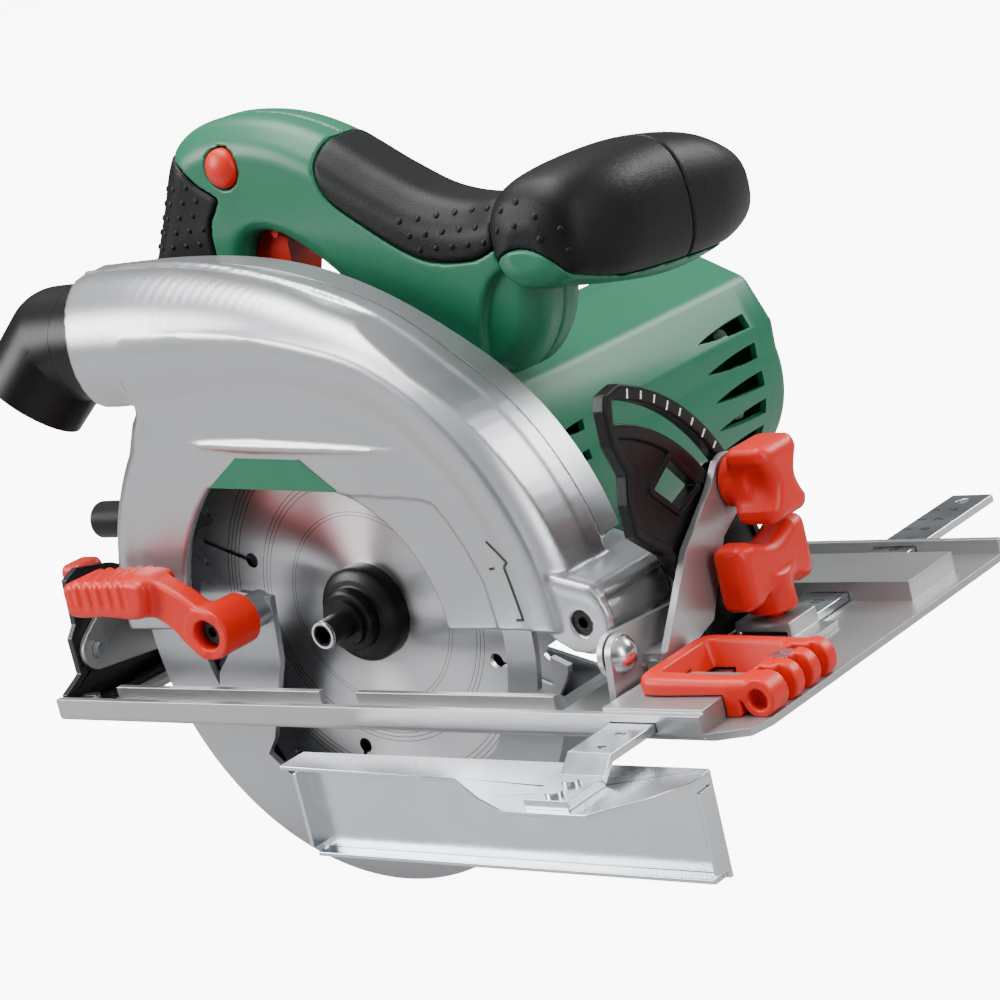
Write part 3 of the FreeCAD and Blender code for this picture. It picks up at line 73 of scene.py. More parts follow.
def soft_box(name, place, aim, width, height, power):
    data = bpy.data.lights.new(name, "AREA")
    data.shape, data.size, data.size_y = "RECTANGLE", width, height
    data.energy = power
    lamp = bpy.data.objects.new(name, data)
    bpy.context.collection.objects.link(lamp)
    lamp.location = place
    lamp.rotation_euler = (Vector(aim) - Vector(place)).to_track_quat("-Z", "Y").to_euler()


soft_box("top_box", (-0.25, -0.1, 1.4), (0, 0, 0.05), 1.2, 0.8, 38)
soft_box("key_box", (-1.1, -1.0, 0.75), (0, 0, 0.08), 0.8, 0.7, 30)
soft_box("front_box", (1.5, -0.30, 0.50), (0.05, 0, 0.08), 0.35, 0.9, 12)
soft_box("back_box", (0.7, 1.3, 0.8), (0, 0.1, 0.1), 1.0, 0.4, 20)

backdrop_glow = 9.0
room = bpy.data.worlds.new("room")
bpy.context.scene.world = room
room.use_nodes = True
sky = room.node_tree
kinds = ("TexCoord", "SeparateXYZ", "ValToRGB", "LightPath", "Mix")
where, split, ramp, ray, pick = (sky.nodes.new("ShaderNode" + kind) for kind in kinds)
ramp.color_ramp.elements[0].position, ramp.color_ramp.elements[0].color = 0.40, (0.20, 0.20, 0.21, 1)
ramp.color_ramp.elements[1].position, ramp.color_ramp.elements[1].color = 1.0, (0.8, 0.8, 0.8, 1)
for place_at, tone in ((0.52, 0.07), (0.64, 0.15), (0.80, 0.60)):
    ramp.color_ramp.elements.new(place_at).color = (tone, tone, tone * 1.02, 1)
height = sky.nodes.new("ShaderNodeMapRange")
height.inputs["From Min"].default_value = -1.0
sky.links.new(where.outputs["Generated"], split.inputs[0])
sky.links.new(split.outputs["Z"], height.inputs["Value"])
sky.links.new(height.outputs[0], ramp.inputs["Fac"])
pick.data_type = "RGBA"
sky.links.new(ray.outputs["Is Camera Ray"], pick.inputs["Factor"])
sky.links.new(ramp.outputs["Color"], pick.inputs["A"])
pick.inputs["B"].default_value = (backdrop_glow, backdrop_glow, backdrop_glow, 1)
sky.links.new(pick.outputs["Result"], sky.nodes["Background"].inputs["Color"])

floor_mesh = bpy.data.meshes.new("floor")
floor_mesh.from_pydata([(-9, -9, 0), (9, -9, 0), (9, 9, 0), (-9, 9, 0)], [], [(0, 1, 2, 3)])
floor_mesh.transform(Matrix.Translation((0, 0, cad_box[0].z - 0.0005)))
floor = bpy.data.objects.new("floor", floor_mesh)
bpy.context.collection.objects.link(floor)
paper = bpy.data.materials.new("pale_paper")
paper.use_nodes = True
sheet = paper.node_tree.nodes["Principled BSDF"]
sheet.inputs["Base Color"].default_value = (0.35, 0.35, 0.35, 1)
sheet.inputs["Roughness"].default_value = 0.8
sheet.inputs["Emission Color"].default_value = (1, 1, 1, 1)
seen = paper.node_tree.nodes.new("ShaderNodeLightPath").outputs["Is Camera Ray"]
glow = paper.node_tree.nodes.new("ShaderNodeMath")
glow.operation = "MULTIPLY"
glow.inputs[1].default_value = backdrop_glow
paper.node_tree.links.new(seen, glow.inputs[0])
paper.node_tree.links.new(glow.outputs[0], sheet.inputs["Emission Strength"])
floor_mesh.materials.append(paper)

# ---------------------------------------------------------------- upper guard
# A thin aluminium casting, lacquered silver: a flat face round the window, with the half-round
# dust channel swelling out of its upper edge and running into the tube at the back. Its lacquer
# shares a fine grain, a slight clouding and a rub on raised edges with every other finish.


def group(name, ins, outs):
    """A shader group, with its inputs as names and first values and its outputs as names."""
    tree = bpy.data.node_groups.new(name, "ShaderNodeTree")
    for socket, value in ins.items():
        kind = "NodeSocketVector" if isinstance(value, tuple) else "NodeSocketFloat"
        tree.interface.new_socket(socket, in_out="INPUT", socket_type=kind).default_value = value
    for socket in outs:
        tree.interface.new_socket(socket, in_out="OUTPUT", socket_type="NodeSocketFloat")
    return tree, tree.nodes.new("NodeGroupInput"), tree.nodes.new("NodeGroupOutput")


def math_node(tree, op, a, b=None):
    n = tree.nodes.new("ShaderNodeMath")
    n.operation = op
    for i, v in enumerate((a, b)):
        if v is None:
            continue
        if isinstance(v, (int, float)):
            n.inputs[i].default_value = v
        else:
            tree.links.new(v, n.inputs[i])
    return n.outputs[0]


def noise(tree, vector, scale, detail):
    n = tree.nodes.new("ShaderNodeTexNoise")
    n.inputs["Detail"].default_value, n.inputs["Roughness"].default_value = detail, 0.55
    tree.links.new(vector, n.inputs["Vector"])
    if isinstance(scale, (int, float)):
        n.inputs["Scale"].default_value = scale
    else:
        tree.links.new(scale, n.inputs["Scale"])
    return n.outputs["Fac"]


def mix_color(tree, fac, a, b):
    n = tree.nodes.new("ShaderNodeMix")
    n.data_type = "RGBA"
    tree.links.new(fac, n.inputs["Factor"])
    tree.links.new(a, n.inputs["A"])
    n.inputs["B"].default_value = (*b, 1)
    return n.outputs["Result"]


grain_inputs = {"Vector": (0, 0, 0), "Grain Scale": 1500.0, "Cloud Scale": 25.0, "Cloud Amount": 0.1}
grain_group, gi, go = group("surface_grain", grain_inputs, ("Height", "Cloud"))
fine = noise(grain_group, gi.outputs["Vector"], gi.outputs["Grain Scale"], 2.0)
cloud = noise(grain_group, gi.outputs["Vector"], gi.outputs["Cloud Scale"], 4.0)
grain_group.links.new(fine, go.inputs["Height"])
grain_group.links.new(math_node(grain_group, "MULTIPLY", math_node(grain_group, "SUBTRACT", cloud, 0.5),
                                gi.outputs["Cloud Amount"]), go.inputs["Cloud"])

rub_group, ri, ro = group("edge_rub", {"Vector": (0, 0, 0), "Reach": 0.53, "Amount": 0.3}, ("Rub",))
point = rub_group.nodes.new("ShaderNodeNewGeometry").outputs["Pointiness"]
edge = rub_group.nodes.new("ShaderNodeMapRange")
rub_group.links.new(point, edge.inputs["Value"])
rub_group.links.new(ri.outputs["Reach"], edge.inputs["From Min"])
edge.inputs["From Max"].default_value = 0.6
patch = noise(rub_group, ri.outputs["Vector"], 180.0, 4.0)
rub_group.links.new(math_node(rub_group, "MULTIPLY", math_node(rub_group, "MULTIPLY", edge.outputs[0], patch),
                              ri.outputs["Amount"]), ro.inputs["Rub"])


def finish(name, color, rough, grain, cloud, rub, metal=0.0, coat=0.0, spec=0.5):
    """A material with grain (scale, strength), clouding (scale, amount) and rubbed edges."""
    m = bpy.data.materials.new(name)
    m.use_nodes = True
    t = m.node_tree
    shader = t.nodes["Principled BSDF"]
    at = t.nodes.new("ShaderNodeTexCoord").outputs["Object"]
    g = t.nodes.new("ShaderNodeGroup")
    g.node_tree = grain_group
    t.links.new(at, g.inputs["Vector"])
    g.inputs["Grain Scale"].default_value = grain[0]
    g.inputs["Cloud Scale"].default_value, g.inputs["Cloud Amount"].default_value = cloud
    e = t.nodes.new("ShaderNodeGroup")
    e.node_tree = rub_group
    t.links.new(at, e.inputs["Vector"])
    e.inputs["Amount"].default_value = rub
    light = tuple(min(1.0, c * 1.6 + 0.03) for c in color)
    tone = t.nodes.new("ShaderNodeHueSaturation")
    tone.inputs["Color"].default_value = (*color, 1)
    t.links.new(math_node(t, "ADD", g.outputs["Cloud"], 1.0), tone.inputs["Value"])
    t.links.new(mix_color(t, e.outputs["Rub"], tone.outputs["Color"], light), shader.inputs["Base Color"])
    t.links.new(math_node(t, "ADD", math_node(t, "MULTIPLY", g.outputs["Cloud"], 0.8), rough),
                shader.inputs["Roughness"])
    bump = t.nodes.new("ShaderNodeBump")
    bump.inputs["Strength"].default_value = grain[1]
    bump.inputs["Distance"].default_value = 0.001
    t.links.new(g.outputs["Height"], bump.inputs["Height"])
    t.links.new(bump.outputs["Normal"], shader.inputs["Normal"])
    shader.inputs["Metallic"].default_value = metal
    shader.inputs["Coat Weight"].default_value = coat
    shader.inputs["Coat Roughness"].default_value = 0.2
    shader.inputs["Specular IOR Level"].default_value = spec
    return m




class Solid:
    """A rounded form held as a distance field in millimetres, X forward, Y away, Z up."""

    def __init__(self, lo, hi, step):
        self.lo, self.step = np.array(lo, float), step
        axes = []
        for i, (a, b) in enumerate(zip(lo, hi)):
            line = self.lo[i] + step * np.arange(int((b - a) / step) + 2)
            axes.append(line.reshape([-1 if j == i else 1 for j in range(3)]).astype(np.float32))
        self.x, self.y, self.z = axes

    def to_mesh(self, field, name, material, body, slot, *replaced):
        full = np.broadcast_to(field, (self.x.size, self.y.size, self.z.size))
        verts, quads = surface_nets(full, self.lo, self.step)
        mesh = bpy.data.meshes.new(name)
        mesh.vertices.add(len(verts))
        mesh.vertices.foreach_set("co", (verts / 1000.0).ravel())
        mesh.loops.add(quads.size)
        mesh.loops.foreach_set("vertex_index", quads.ravel())
        mesh.polygons.add(len(quads))
        mesh.polygons.foreach_set("loop_start", np.arange(0, quads.size, 4))
        mesh.update(calc_edges=True)
        mesh.shade_smooth()
        return place(name, mesh, material, body, slot, *replaced)


remade = set()


def place(name, mesh, material, body, slot, *replaced):
    """One finished piece, carried by its body, in place of the nodes it redraws. Its slot argument is not
    used.
    """
    mesh.materials.clear()
    remade.update(replaced)
    mesh.materials.append(material)
    piece = bpy.data.objects.new(name, mesh)
    bpy.context.collection.objects.link(piece)
    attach(piece, body)
    if replaced:
        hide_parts(*replaced)
    return piece


def surface_nets(f, lo, step):
    """Closed quad skin of the zero level of a field, one point in each cell that it crosses."""
    f = np.ascontiguousarray(f, dtype=np.float32)
    inside = f < 0
    grid = [n - 1 for n in f.shape]
    corner = [(a, b, c) for a in (0, 1) for b in (0, 1) for c in (0, 1)]

    def at(array, c):
        return array[tuple(slice(c[i], array.shape[i] - 1 + c[i]) for i in range(3))]

    mixed = np.zeros(grid, bool)
    for c in corner[1:]:
        mixed |= at(inside, c) != at(inside, (0, 0, 0))
    cells = np.argwhere(mixed)
    vals = np.stack([f[tuple((cells + c).T)] for c in corner], 1)
    pos, hits = np.zeros((len(cells), 3)), np.zeros(len(cells))
    for i, a in enumerate(corner):
        for j, b in enumerate(corner):
            if j > i and sum(abs(p - q) for p, q in zip(a, b)) == 1:
                va, vb = vals[:, i], vals[:, j]
                cross = (va < 0) != (vb < 0)
                t = np.where(cross, va / np.where(va == vb, 1, va - vb), 0)
                pos += np.where(cross[:, None], np.array(a) + t[:, None] * (np.array(b) - np.array(a)), 0)
                hits += cross
    verts = lo + step * (cells + pos / hits[:, None])
    index = np.full(grid, -1, np.int64)
    index[tuple(cells.T)] = np.arange(len(cells))
    quads = []
    for axis in range(3):
        u, v = [(1, 2), (2, 0), (0, 1)][axis]
        a = inside[tuple(slice(0, -1) if k == axis else slice(1, -1) for k in range(3))]
        b = inside[tuple(slice(1, None) if k == axis else slice(1, -1) for k in range(3))]
        for flip, where in ((False, a & ~b), (True, ~a & b)):
            e = np.argwhere(where)
            e[:, u] += 1
            e[:, v] += 1
            ring = []
            for du, dv in ((-1, -1), (0, -1), (0, 0), (-1, 0)):
                q = e.copy()
                q[:, u] += du
                q[:, v] += dv
                ring.append(index[tuple(q.T)])
            quads.append(np.stack(ring[::-1] if flip else ring, 1))
    return verts, np.concatenate(quads)


def smooth_min(a, b, k):
    h = np.clip(0.5 + 0.5 * (b - a) / k, 0, 1)
    return b + (a - b) * h - k * h * (1 - h)


def smooth_max(a, b, k):
    return -smooth_min(-a, -b, k)


def flat_shape(points, a, b):
    """Distance to a closed outline in one plane, negative inside."""
    p = np.array(points, float)
    best, wind = np.full(np.broadcast(a, b).shape, 1e9), np.zeros(np.broadcast(a, b).shape, bool)
    for (x0, z0), (x1, z1) in zip(p, np.roll(p, -1, 0)):
        ex, ez = x1 - x0, z1 - z0
        t = np.clip(((a - x0) * ex + (b - z0) * ez) / (ex * ex + ez * ez + 1e-12), 0, 1)
        best = np.minimum(best, (a - x0 - t * ex) ** 2 + (b - z0 - t * ez) ** 2)
        if z0 != z1:
            wind ^= ((z0 > b) != (z1 > b)) & (a < ex * (b - z0) / ez + x0)
    return (np.sqrt(best) * np.where(wind, -1, 1)).astype(np.float32)


def rounded_plate(outline, offset, half, radius):
    """An outline pushed both ways from a middle plane, with rounded rims."""
    a, b = outline + radius, np.abs(offset) - half + radius
    return np.hypot(np.maximum(a, 0), np.maximum(b, 0)) + np.minimum(np.maximum(a, b), 0) - radius


def curve_points(a, b, c, d, steps):
    """Points from b towards c, on a curve that also heeds the points before and after."""
    square, cube = 2 * a - 5 * b + 4 * c - d, 3 * b - a - 3 * c + d
    return [0.5 * (2 * b + (c - a) * t + square * t * t + cube * t ** 3) for t in np.arange(steps) / steps]


def smooth_loop(points, steps=10):
    """Closed curve through the points."""
    p, out = np.array(points, float), []
    for a, b, c, d in zip(np.roll(p, 1, 0), p, np.roll(p, -1, 0), np.roll(p, -2, 0)):
        out += curve_points(a, b, c, d, steps)
    return out


def smooth_way(points, steps):
    """Open curve through stations of any number of values."""
    p = np.array(points, float)
    p = np.concatenate([2 * p[:1] - p[1:2], p, 2 * p[-1:] - p[-2:-1]])
    out = []
    for a, b, c, d in zip(p, p[1:], p[2:], p[3:]):
        out += curve_points(a, b, c, d, steps)
    return out + [p[-2]]


blade_axis = (0.0, 25.0)


def arc(radius, start, end):
    """Points about the blade's axis, about every three degrees."""
    n = max(2, int(abs(end - start) / 3.0))
    angles = [math.radians(start + (end - start) * i / n) for i in range(n + 1)]
    return [(blade_axis[0] + radius * math.cos(a), blade_axis[1] + radius * math.sin(a)) for a in angles]


tube_y, tube_z, mouth_x, mouth_slope = -2.5, 124.0, -93.0, 0.39
web_face, seam_y, cavity_radius = -21.0, 5.0, 95.5
front_radius, back_radius, roll_radius = 100.0, 99.6, 92.5
rim_top = [(58.8, 105.9), (46, 116), (31, 125.6), (15, 132.5), (-1, 137.4), (-22, 142.4), (-45, 146.2),
           (-67, 147.9), (-84, 148), (-104, 148)]
channel = smooth_way([(-118, tube_z, tube_y, 23), (-84, tube_z, tube_y, 23), (-55, 124.2, -3.2, 21.8),
                      (-31, 123.6, -4.6, 18.9), (-8, 121.8, -6.6, 15.8), (11, 118.6, -8.8, 12.8),
                      (36, 111.5, -11.2, 10.4), (52, 102.5, -12.2, 9.3), (62.5, 93.5, -12.6, 9.0),
                      (72.5, 82, -12.8, 8.8), (80.5, 68.6, -12.8, 8.8), (86.6, 54, -12.6, 8.8),
                      (89.5, 42, -12.5, 8.8), (90.8, 30, -12.5, 8.8), (91.2, 22, -12.5, 8.8)], 6)


def swept_tube(s, way, beyond=False):
    """Round bar through stations (x, z, y, radius). Beyond its crest it can run straight back."""
    best = None
    for (x0, z0, y0, r0), (x1, z1, y1, r1) in zip(way, way[1:]):
        ex, ez = x1 - x0, z1 - z0
        t = np.clip(((s.x - x0) * ex + (s.z - z0) * ez) / (ex * ex + ez * ez), 0, 1)
        d2 = (s.x - x0 - t * ex) ** 2 + (s.z - z0 - t * ez) ** 2
        dy = s.y - (y0 + t * (y1 - y0))
        if beyond:
            dy = np.minimum(dy, 0)
        f = np.sqrt(d2 + dy * dy) - (r0 + t * (r1 - r0))
        best = f if best is None else np.minimum(best, f)
    return best


def box_shape(s, lo, hi):
    return np.maximum(np.maximum(np.maximum(lo[0] - s.x, s.x - hi[0]), np.maximum(lo[1] - s.y, s.y - hi[1])),
                      np.maximum(lo[2] - s.z, s.z - hi[2]))


def rod_y(s, centre, radius):
    return np.hypot(s.x - centre[0], s.z - centre[1]) - radius


def mouth_side(s):
    """Slanted plane across the end of the tube, positive behind it."""
    return (mouth_x - mouth_slope * (s.y - tube_y) - s.x) / math.hypot(1, mouth_slope)


guard = Solid((-122, -29, 14), (118, 23, 150), 0.9)
under_tube = [(-104, 100.6), (-92, 100.6), (-86.5, 98.6), (-82, 94.5), (-79.6, 89)]
outer_edge = (arc(front_radius, 0, 54) + smooth_way(rim_top, 5) + under_tube + arc(back_radius, 143, 180)
              + [(-back_radius, 15), (front_radius, 15)])
inner_edge = ([(p[0], p[1]) for p in channel[12:]] + [(91, 15), (-roll_radius, 15)]
              + arc(roll_radius, 180, 137)[1:] + [(-62, 104)])
edge_2d, inner_2d = flat_shape(outer_edge, guard.x, guard.z), flat_shape(inner_edge, guard.x, guard.z)
back_line = [(-roll_radius, 10)] + arc(roll_radius, 180, 140) + [(-66, 94)]
back_roll = [(x, z, web_face + 6.5, 6.5) for x, z in back_line]
web = np.maximum(inner_2d - 1.0, web_face - guard.y)
walls = np.maximum(np.maximum(edge_2d, -12.0 - guard.y), np.maximum(guard.y - seam_y, -78 - guard.x))
rolled = smooth_min(swept_tube(guard, channel[6:], True), swept_tube(guard, back_roll, True), 10.0)
rolled = np.maximum(rolled, guard.y - seam_y)
skin = smooth_min(smooth_min(web, swept_tube(guard, channel), 9.0),
                  np.maximum(smooth_min(web, rolled, 3.0), edge_2d), 1.0)
skin = np.maximum(skin, np.where(guard.x > -92, edge_2d, guard.z - 148))
skin = smooth_min(skin, np.maximum(walls, -2.0 - guard.y + np.clip((10 - guard.x) * 0.08, 0, 3.6)), 1.5)
skin = np.maximum(skin, np.where((guard.x > -78) | (guard.z < 96), guard.y - seam_y, -9))
lip_band = np.maximum(np.abs(guard.y - 2.2) - 2.8, tube_z - guard.z)
lip = np.maximum(swept_tube(guard, channel[:24]) - 0.9, lip_band)
skin = smooth_min(skin, lip, 0.6)
skin = np.maximum(skin, np.where(guard.z > 80, mouth_side(guard), -9))
skin = smooth_max(skin, blade_axis[1] - guard.z, 1.2)
step_line = [(-2, 71), (17, 71), (50, 68.6), (56, 66.8), (59.5, 62), (65, 52), (69, 41), (71.5, 14), (0, 14)]
skin = smooth_max(skin, -np.maximum(flat_shape(step_line, guard.x, guard.z), guard.y - web_face - 0.8), 0.8)
cavity = smooth_max(rod_y(guard, blade_axis, cavity_radius), web_face + 3.0 - guard.y, 2.0)
bore = np.maximum(np.hypot(guard.y - tube_y, guard.z - tube_z) - 20.3, guard.x + 68.0)
skin = np.maximum(np.maximum(skin, -cavity), -bore)
window = [(-72, 10)] + arc(63.5, 194, 129) + [(-38, 75), (17, 71.5)] + arc(49.0, 68, -8) + [(52, 10)]
skin = smooth_max(skin, -np.maximum(flat_shape(window, guard.x, guard.z), guard.y + 16.5), 1.0)
pin, fork_y = (103.5, 27.5), -0.5
cheek_side = [(80, 25), (80, 49.5), (88, 45.5), (97, 42), (109, 39), (112, 35.5), (114, 30), (113.5, 24.5),
              (110.5, 19.5), (105, 17.2), (98, 18), (92, 21.5), (88, 25)]
cheek_2d = flat_shape(cheek_side, guard.x, guard.z)
cheeks = np.minimum(rounded_plate(cheek_2d, guard.y + 19.0, 2.0, 1.2),
                    np.maximum(rounded_plate(cheek_2d, guard.y - 18.0, 2.0, 1.2), 91 - guard.x))
roof_line = [(86, 46.5), (97, 42), (109, 39), (112, 35.5), (110.5, 33), (108, 35.5), (96, 38.5), (86, 41.5)]
roof = smooth_max(flat_shape(roof_line, guard.x, guard.z), np.abs(guard.y - fork_y) - 20.5, 1.5)
roof = np.maximum(roof, np.where(guard.x < 91, guard.y - seam_y, -9))
rib_way = np.clip((guard.x + 46) / 110.0, 0, 1)
rib_width = 1.9 * np.clip(rib_way / 0.28, 0, 1) ** 0.5 * np.clip((1 - rib_way) / 0.72, 0, 1) ** 0.7
rib = np.hypot(guard.z - (90.4 - 7.4 * rib_way), (guard.y - web_face + 0.1) * 1.25) - rib_width
skin = smooth_min(skin, np.maximum(rib, np.abs(guard.x - 9) - 55), 0.8)
keep_clear = np.maximum(rod_y(guard, pin, 9.0), np.abs(guard.y - fork_y) - 16.5)
under_roof = np.maximum(np.maximum(93 - guard.x, web_face + 4 - guard.y), guard.z - pin[1])
skin = np.maximum(np.maximum(skin, -keep_clear), -under_roof)
skin = smooth_min(np.minimum(skin, cheeks), roof, 1.2)
skin = np.maximum(skin, -np.maximum(cavity, guard.y - 5.5))
skin = np.maximum(skin, -rod_y(guard, pin, 4.05))
guard_lacquer = finish("guard_lacquer", (0.42, 0.43, 0.45), 0.34, grain=(2600.0, 0.10), cloud=(40.0, 0.05),
                       rub=0.15, metal=0.9, coat=0.1)
casting = guard.to_mesh(skin, "guard_casting", guard_lacquer, "saw", "guard_silver", "upper_guard")

# ---------------------------------------------------------------- main handle
# Two green nylon halves screwed together down the middle, with soft black grips moulded over
# the rear post and the top of the front stem. The hand hole has well rounded edges.
grip_mid, grip_half = 45.0, 17.0
handle_outline = [(-106, 104), (-102, 126), (-94.5, 144), (-85, 161), (-78, 174), (-71, 182), (-60, 186.5),
                  (-45, 187.5), (-25, 184.5), (-5, 176.5), (16, 163), (33, 153.5), (50, 149), (64, 149),
                  (73, 141), (74, 122), (68, 104), (54, 92), (30, 92), (5, 90), (-25, 80), (-60, 76),
                  (-88, 80), (-101, 90)]
hand_hole = [(-53, 112), (-49.5, 130), (-46, 143), (-38, 148.5), (-25, 145), (-6, 130), (2, 114), (-6, 102),
             (-26, 97), (-43, 99)]
motor_x, gear_reach = 12.0, 27.5
motor_axis = (motor_x, blade_axis[1] + math.sqrt(gear_reach ** 2 - motor_x ** 2))
motor_roof = [(motor_axis[0] + x, motor_axis[1] + z) for x, z in
              [(-26, 30), (-13, 45), (10, 46.8), (31.5, 35.5), (39.5, 18), (39, 0), (0, 0)]]
plump_sections = [(23.5, 78, 134, 10.5, 10.5), (27, 78.5, 136, 15.5, 15), (34, 80, 137.5, 18.5, 18),
                  (50, 83, 136.8, 20.5, 21), (76, 84, 134.5, 20.5, 23), (100, 85, 132.5, 19.5, 20.5),
                  (117, 84, 130.3, 16.5, 15.3), (124, 83.5, 130, 12, 10.5)]


def plump_bar(s, grow=0.0):
    """Rounded handle whose section changes along Y."""
    line = np.array(smooth_way(plump_sections, 6))
    x, z, w, h = (np.interp(s.y, line[:, 0], line[:, i]).astype(np.float32) for i in range(1, 5))
    w, h = w + grow, h + grow
    shape = (np.abs((s.x - x) / w) ** 2.5 + np.abs((s.z - z) / h) ** 2.5) ** 0.4
    f = (shape - 1.0) * np.minimum(w, h)
    return smooth_max(f, np.maximum(23.3 - grow - s.y, s.y - 124.2 - grow), 5.0)


handle = Solid((-114, 26.5, 74), (78, 63.5, 192), 0.85)
outline_2d = flat_shape(smooth_loop(handle_outline), handle.x, handle.z)
hole_2d = flat_shape(smooth_loop(hand_hole), handle.x, handle.z)
side_gap = np.abs(handle.y - grip_mid) - grip_half
grip = smooth_max(rounded_plate(outline_2d, handle.y - grip_mid, grip_half, 7.0),
                  (outline_2d + 1.05 * side_gap + 8.5) / 1.45, 3.0)
grip = smooth_max(grip, -hole_2d, 6.0)
stem_side = flat_shape(smooth_loop([(48, 97), (50, 110), (53.6, 119), (58, 124.5), (63, 127.4), (71.5, 129.9),
                                    (90, 132), (92, 90), (50, 86)]), handle.x, handle.z)
grip = smooth_max(grip, -np.maximum(stem_side, np.abs(side_gap) - 2.6), 1.6)
motor_2d = np.minimum(rod_y(handle, motor_axis, 40.0), flat_shape(motor_roof, handle.x, handle.z)) - 0.15
clear_of = np.minimum(motor_2d + np.where(handle.y < 41.8, 99, 0),
                      np.minimum(rod_y(handle, motor_axis, 37.1), rod_y(handle, blade_axis, 24.1))
                      + np.where(handle.y > 42, 99, 0))
clear_of = np.minimum(clear_of, plump_bar(handle, 0.2))
trigger_way = box_shape(handle, (-64, grip_mid - 8.3, 100), (-26, grip_mid + 8.3, 170))
button_axis = (-46, 172)
lock_way = np.maximum(rod_y(handle, button_axis, 7.4), handle.y - 41)
top_zone = flat_shape(smooth_loop([(4, 196), (-3, 178), (-6, 170), (-5, 162.5), (-1, 155.5), (10, 147),
                                   (22, 138.8), (32, 133.7), (42.5, 131.8), (54, 132), (66, 136), (90, 142),
                                   (95, 205), (40, 215)]), handle.x, handle.z)
rear_zone = flat_shape(smooth_loop([(-130, 92), (-96, 97), (-64, 102), (-59, 120), (-59, 137), (-58.5, 149),
                                    (-57, 154.5), (-52.6, 160), (-52.6, 162.6), (-60, 167.6), (-68, 175),
                                    (-90, 184), (-130, 175)]), handle.x, handle.z)
groove = 0.35
ways = np.minimum(np.minimum(clear_of, trigger_way), lock_way)
seam = np.maximum(np.abs(handle.y - grip_mid) - groove, -grip - 0.9)
shell = np.maximum(np.maximum(grip, -ways), np.maximum(groove - top_zone, groove - rear_zone))
shell = smooth_max(shell, -seam, 0.3)
green_plastic = finish("green_plastic", (0.010, 0.125, 0.062), 0.38, grain=(2400.0, 0.06),
                       cloud=(30.0, 0.05), rub=0.08, spec=0.4)
black_rubber = finish("black_rubber", (0.003, 0.0033, 0.0036), 0.44, grain=(2000.0, 0.16),
                      cloud=(40.0, 0.15), rub=0.03, spec=0.2)
handle.to_mesh(shell, "handle_shell", green_plastic, "saw", "green_plastic", "handle_near", "handle_far")
soft = smooth_max(np.maximum(grip - 0.3, -clear_of), top_zone + 0.3, 1.2)
top_skin = handle.to_mesh(soft, "top_grip_rubber", black_rubber, "saw", "black_rubber", "grip_top")
soft = smooth_max(np.maximum(grip - 0.3, -clear_of), rear_zone + 0.3, 1.2)
rear_skin = handle.to_mesh(soft, "rear_grip_rubber", black_rubber, "saw", "black_rubber", "grip_rear")

# ---------------------------------------------------------------- auxiliary handle
# A plump front handle over the motor: a green shell below with a thumb lobe at its near end, and
# a soft black pad above in two pieces that meet at a fine seam.
bar = Solid((58, 21, 106), (108, 127, 162), 0.75)
body_bar = plump_bar(bar)
belly = bar.z - (119.5 - 0.065 * (bar.y - 23.5))
lobe = np.maximum(rod_y(bar, (75, 118), 16.5), bar.y - 46)
below = smooth_min(belly, lobe, 5.0)
joint_y, half_gap = 78.0, 0.16
bar.to_mesh(np.maximum(body_bar, below + 0.12), "aux_green_shell", green_plastic, "saw", "green_plastic",
            "aux_handle_shell")
pad = smooth_max(body_bar, 0.18 - below, 0.9)
near_pad = smooth_max(pad, bar.y - joint_y + half_gap, 0.6)
pad_skin = bar.to_mesh(near_pad, "aux_pad_rubber", black_rubber, "saw", "black_rubber", "aux_handle_pad")
far_pad = smooth_max(pad, joint_y + half_gap - bar.y, 0.6)
bar.to_mesh(far_pad, "aux_cap_rubber", black_rubber, "saw", "black_rubber", "aux_handle_cap")

# ---------------------------------------------------------------- grip studs
# Small raised studs, moulded with the rubber, on the places where the fingers and thumb press.


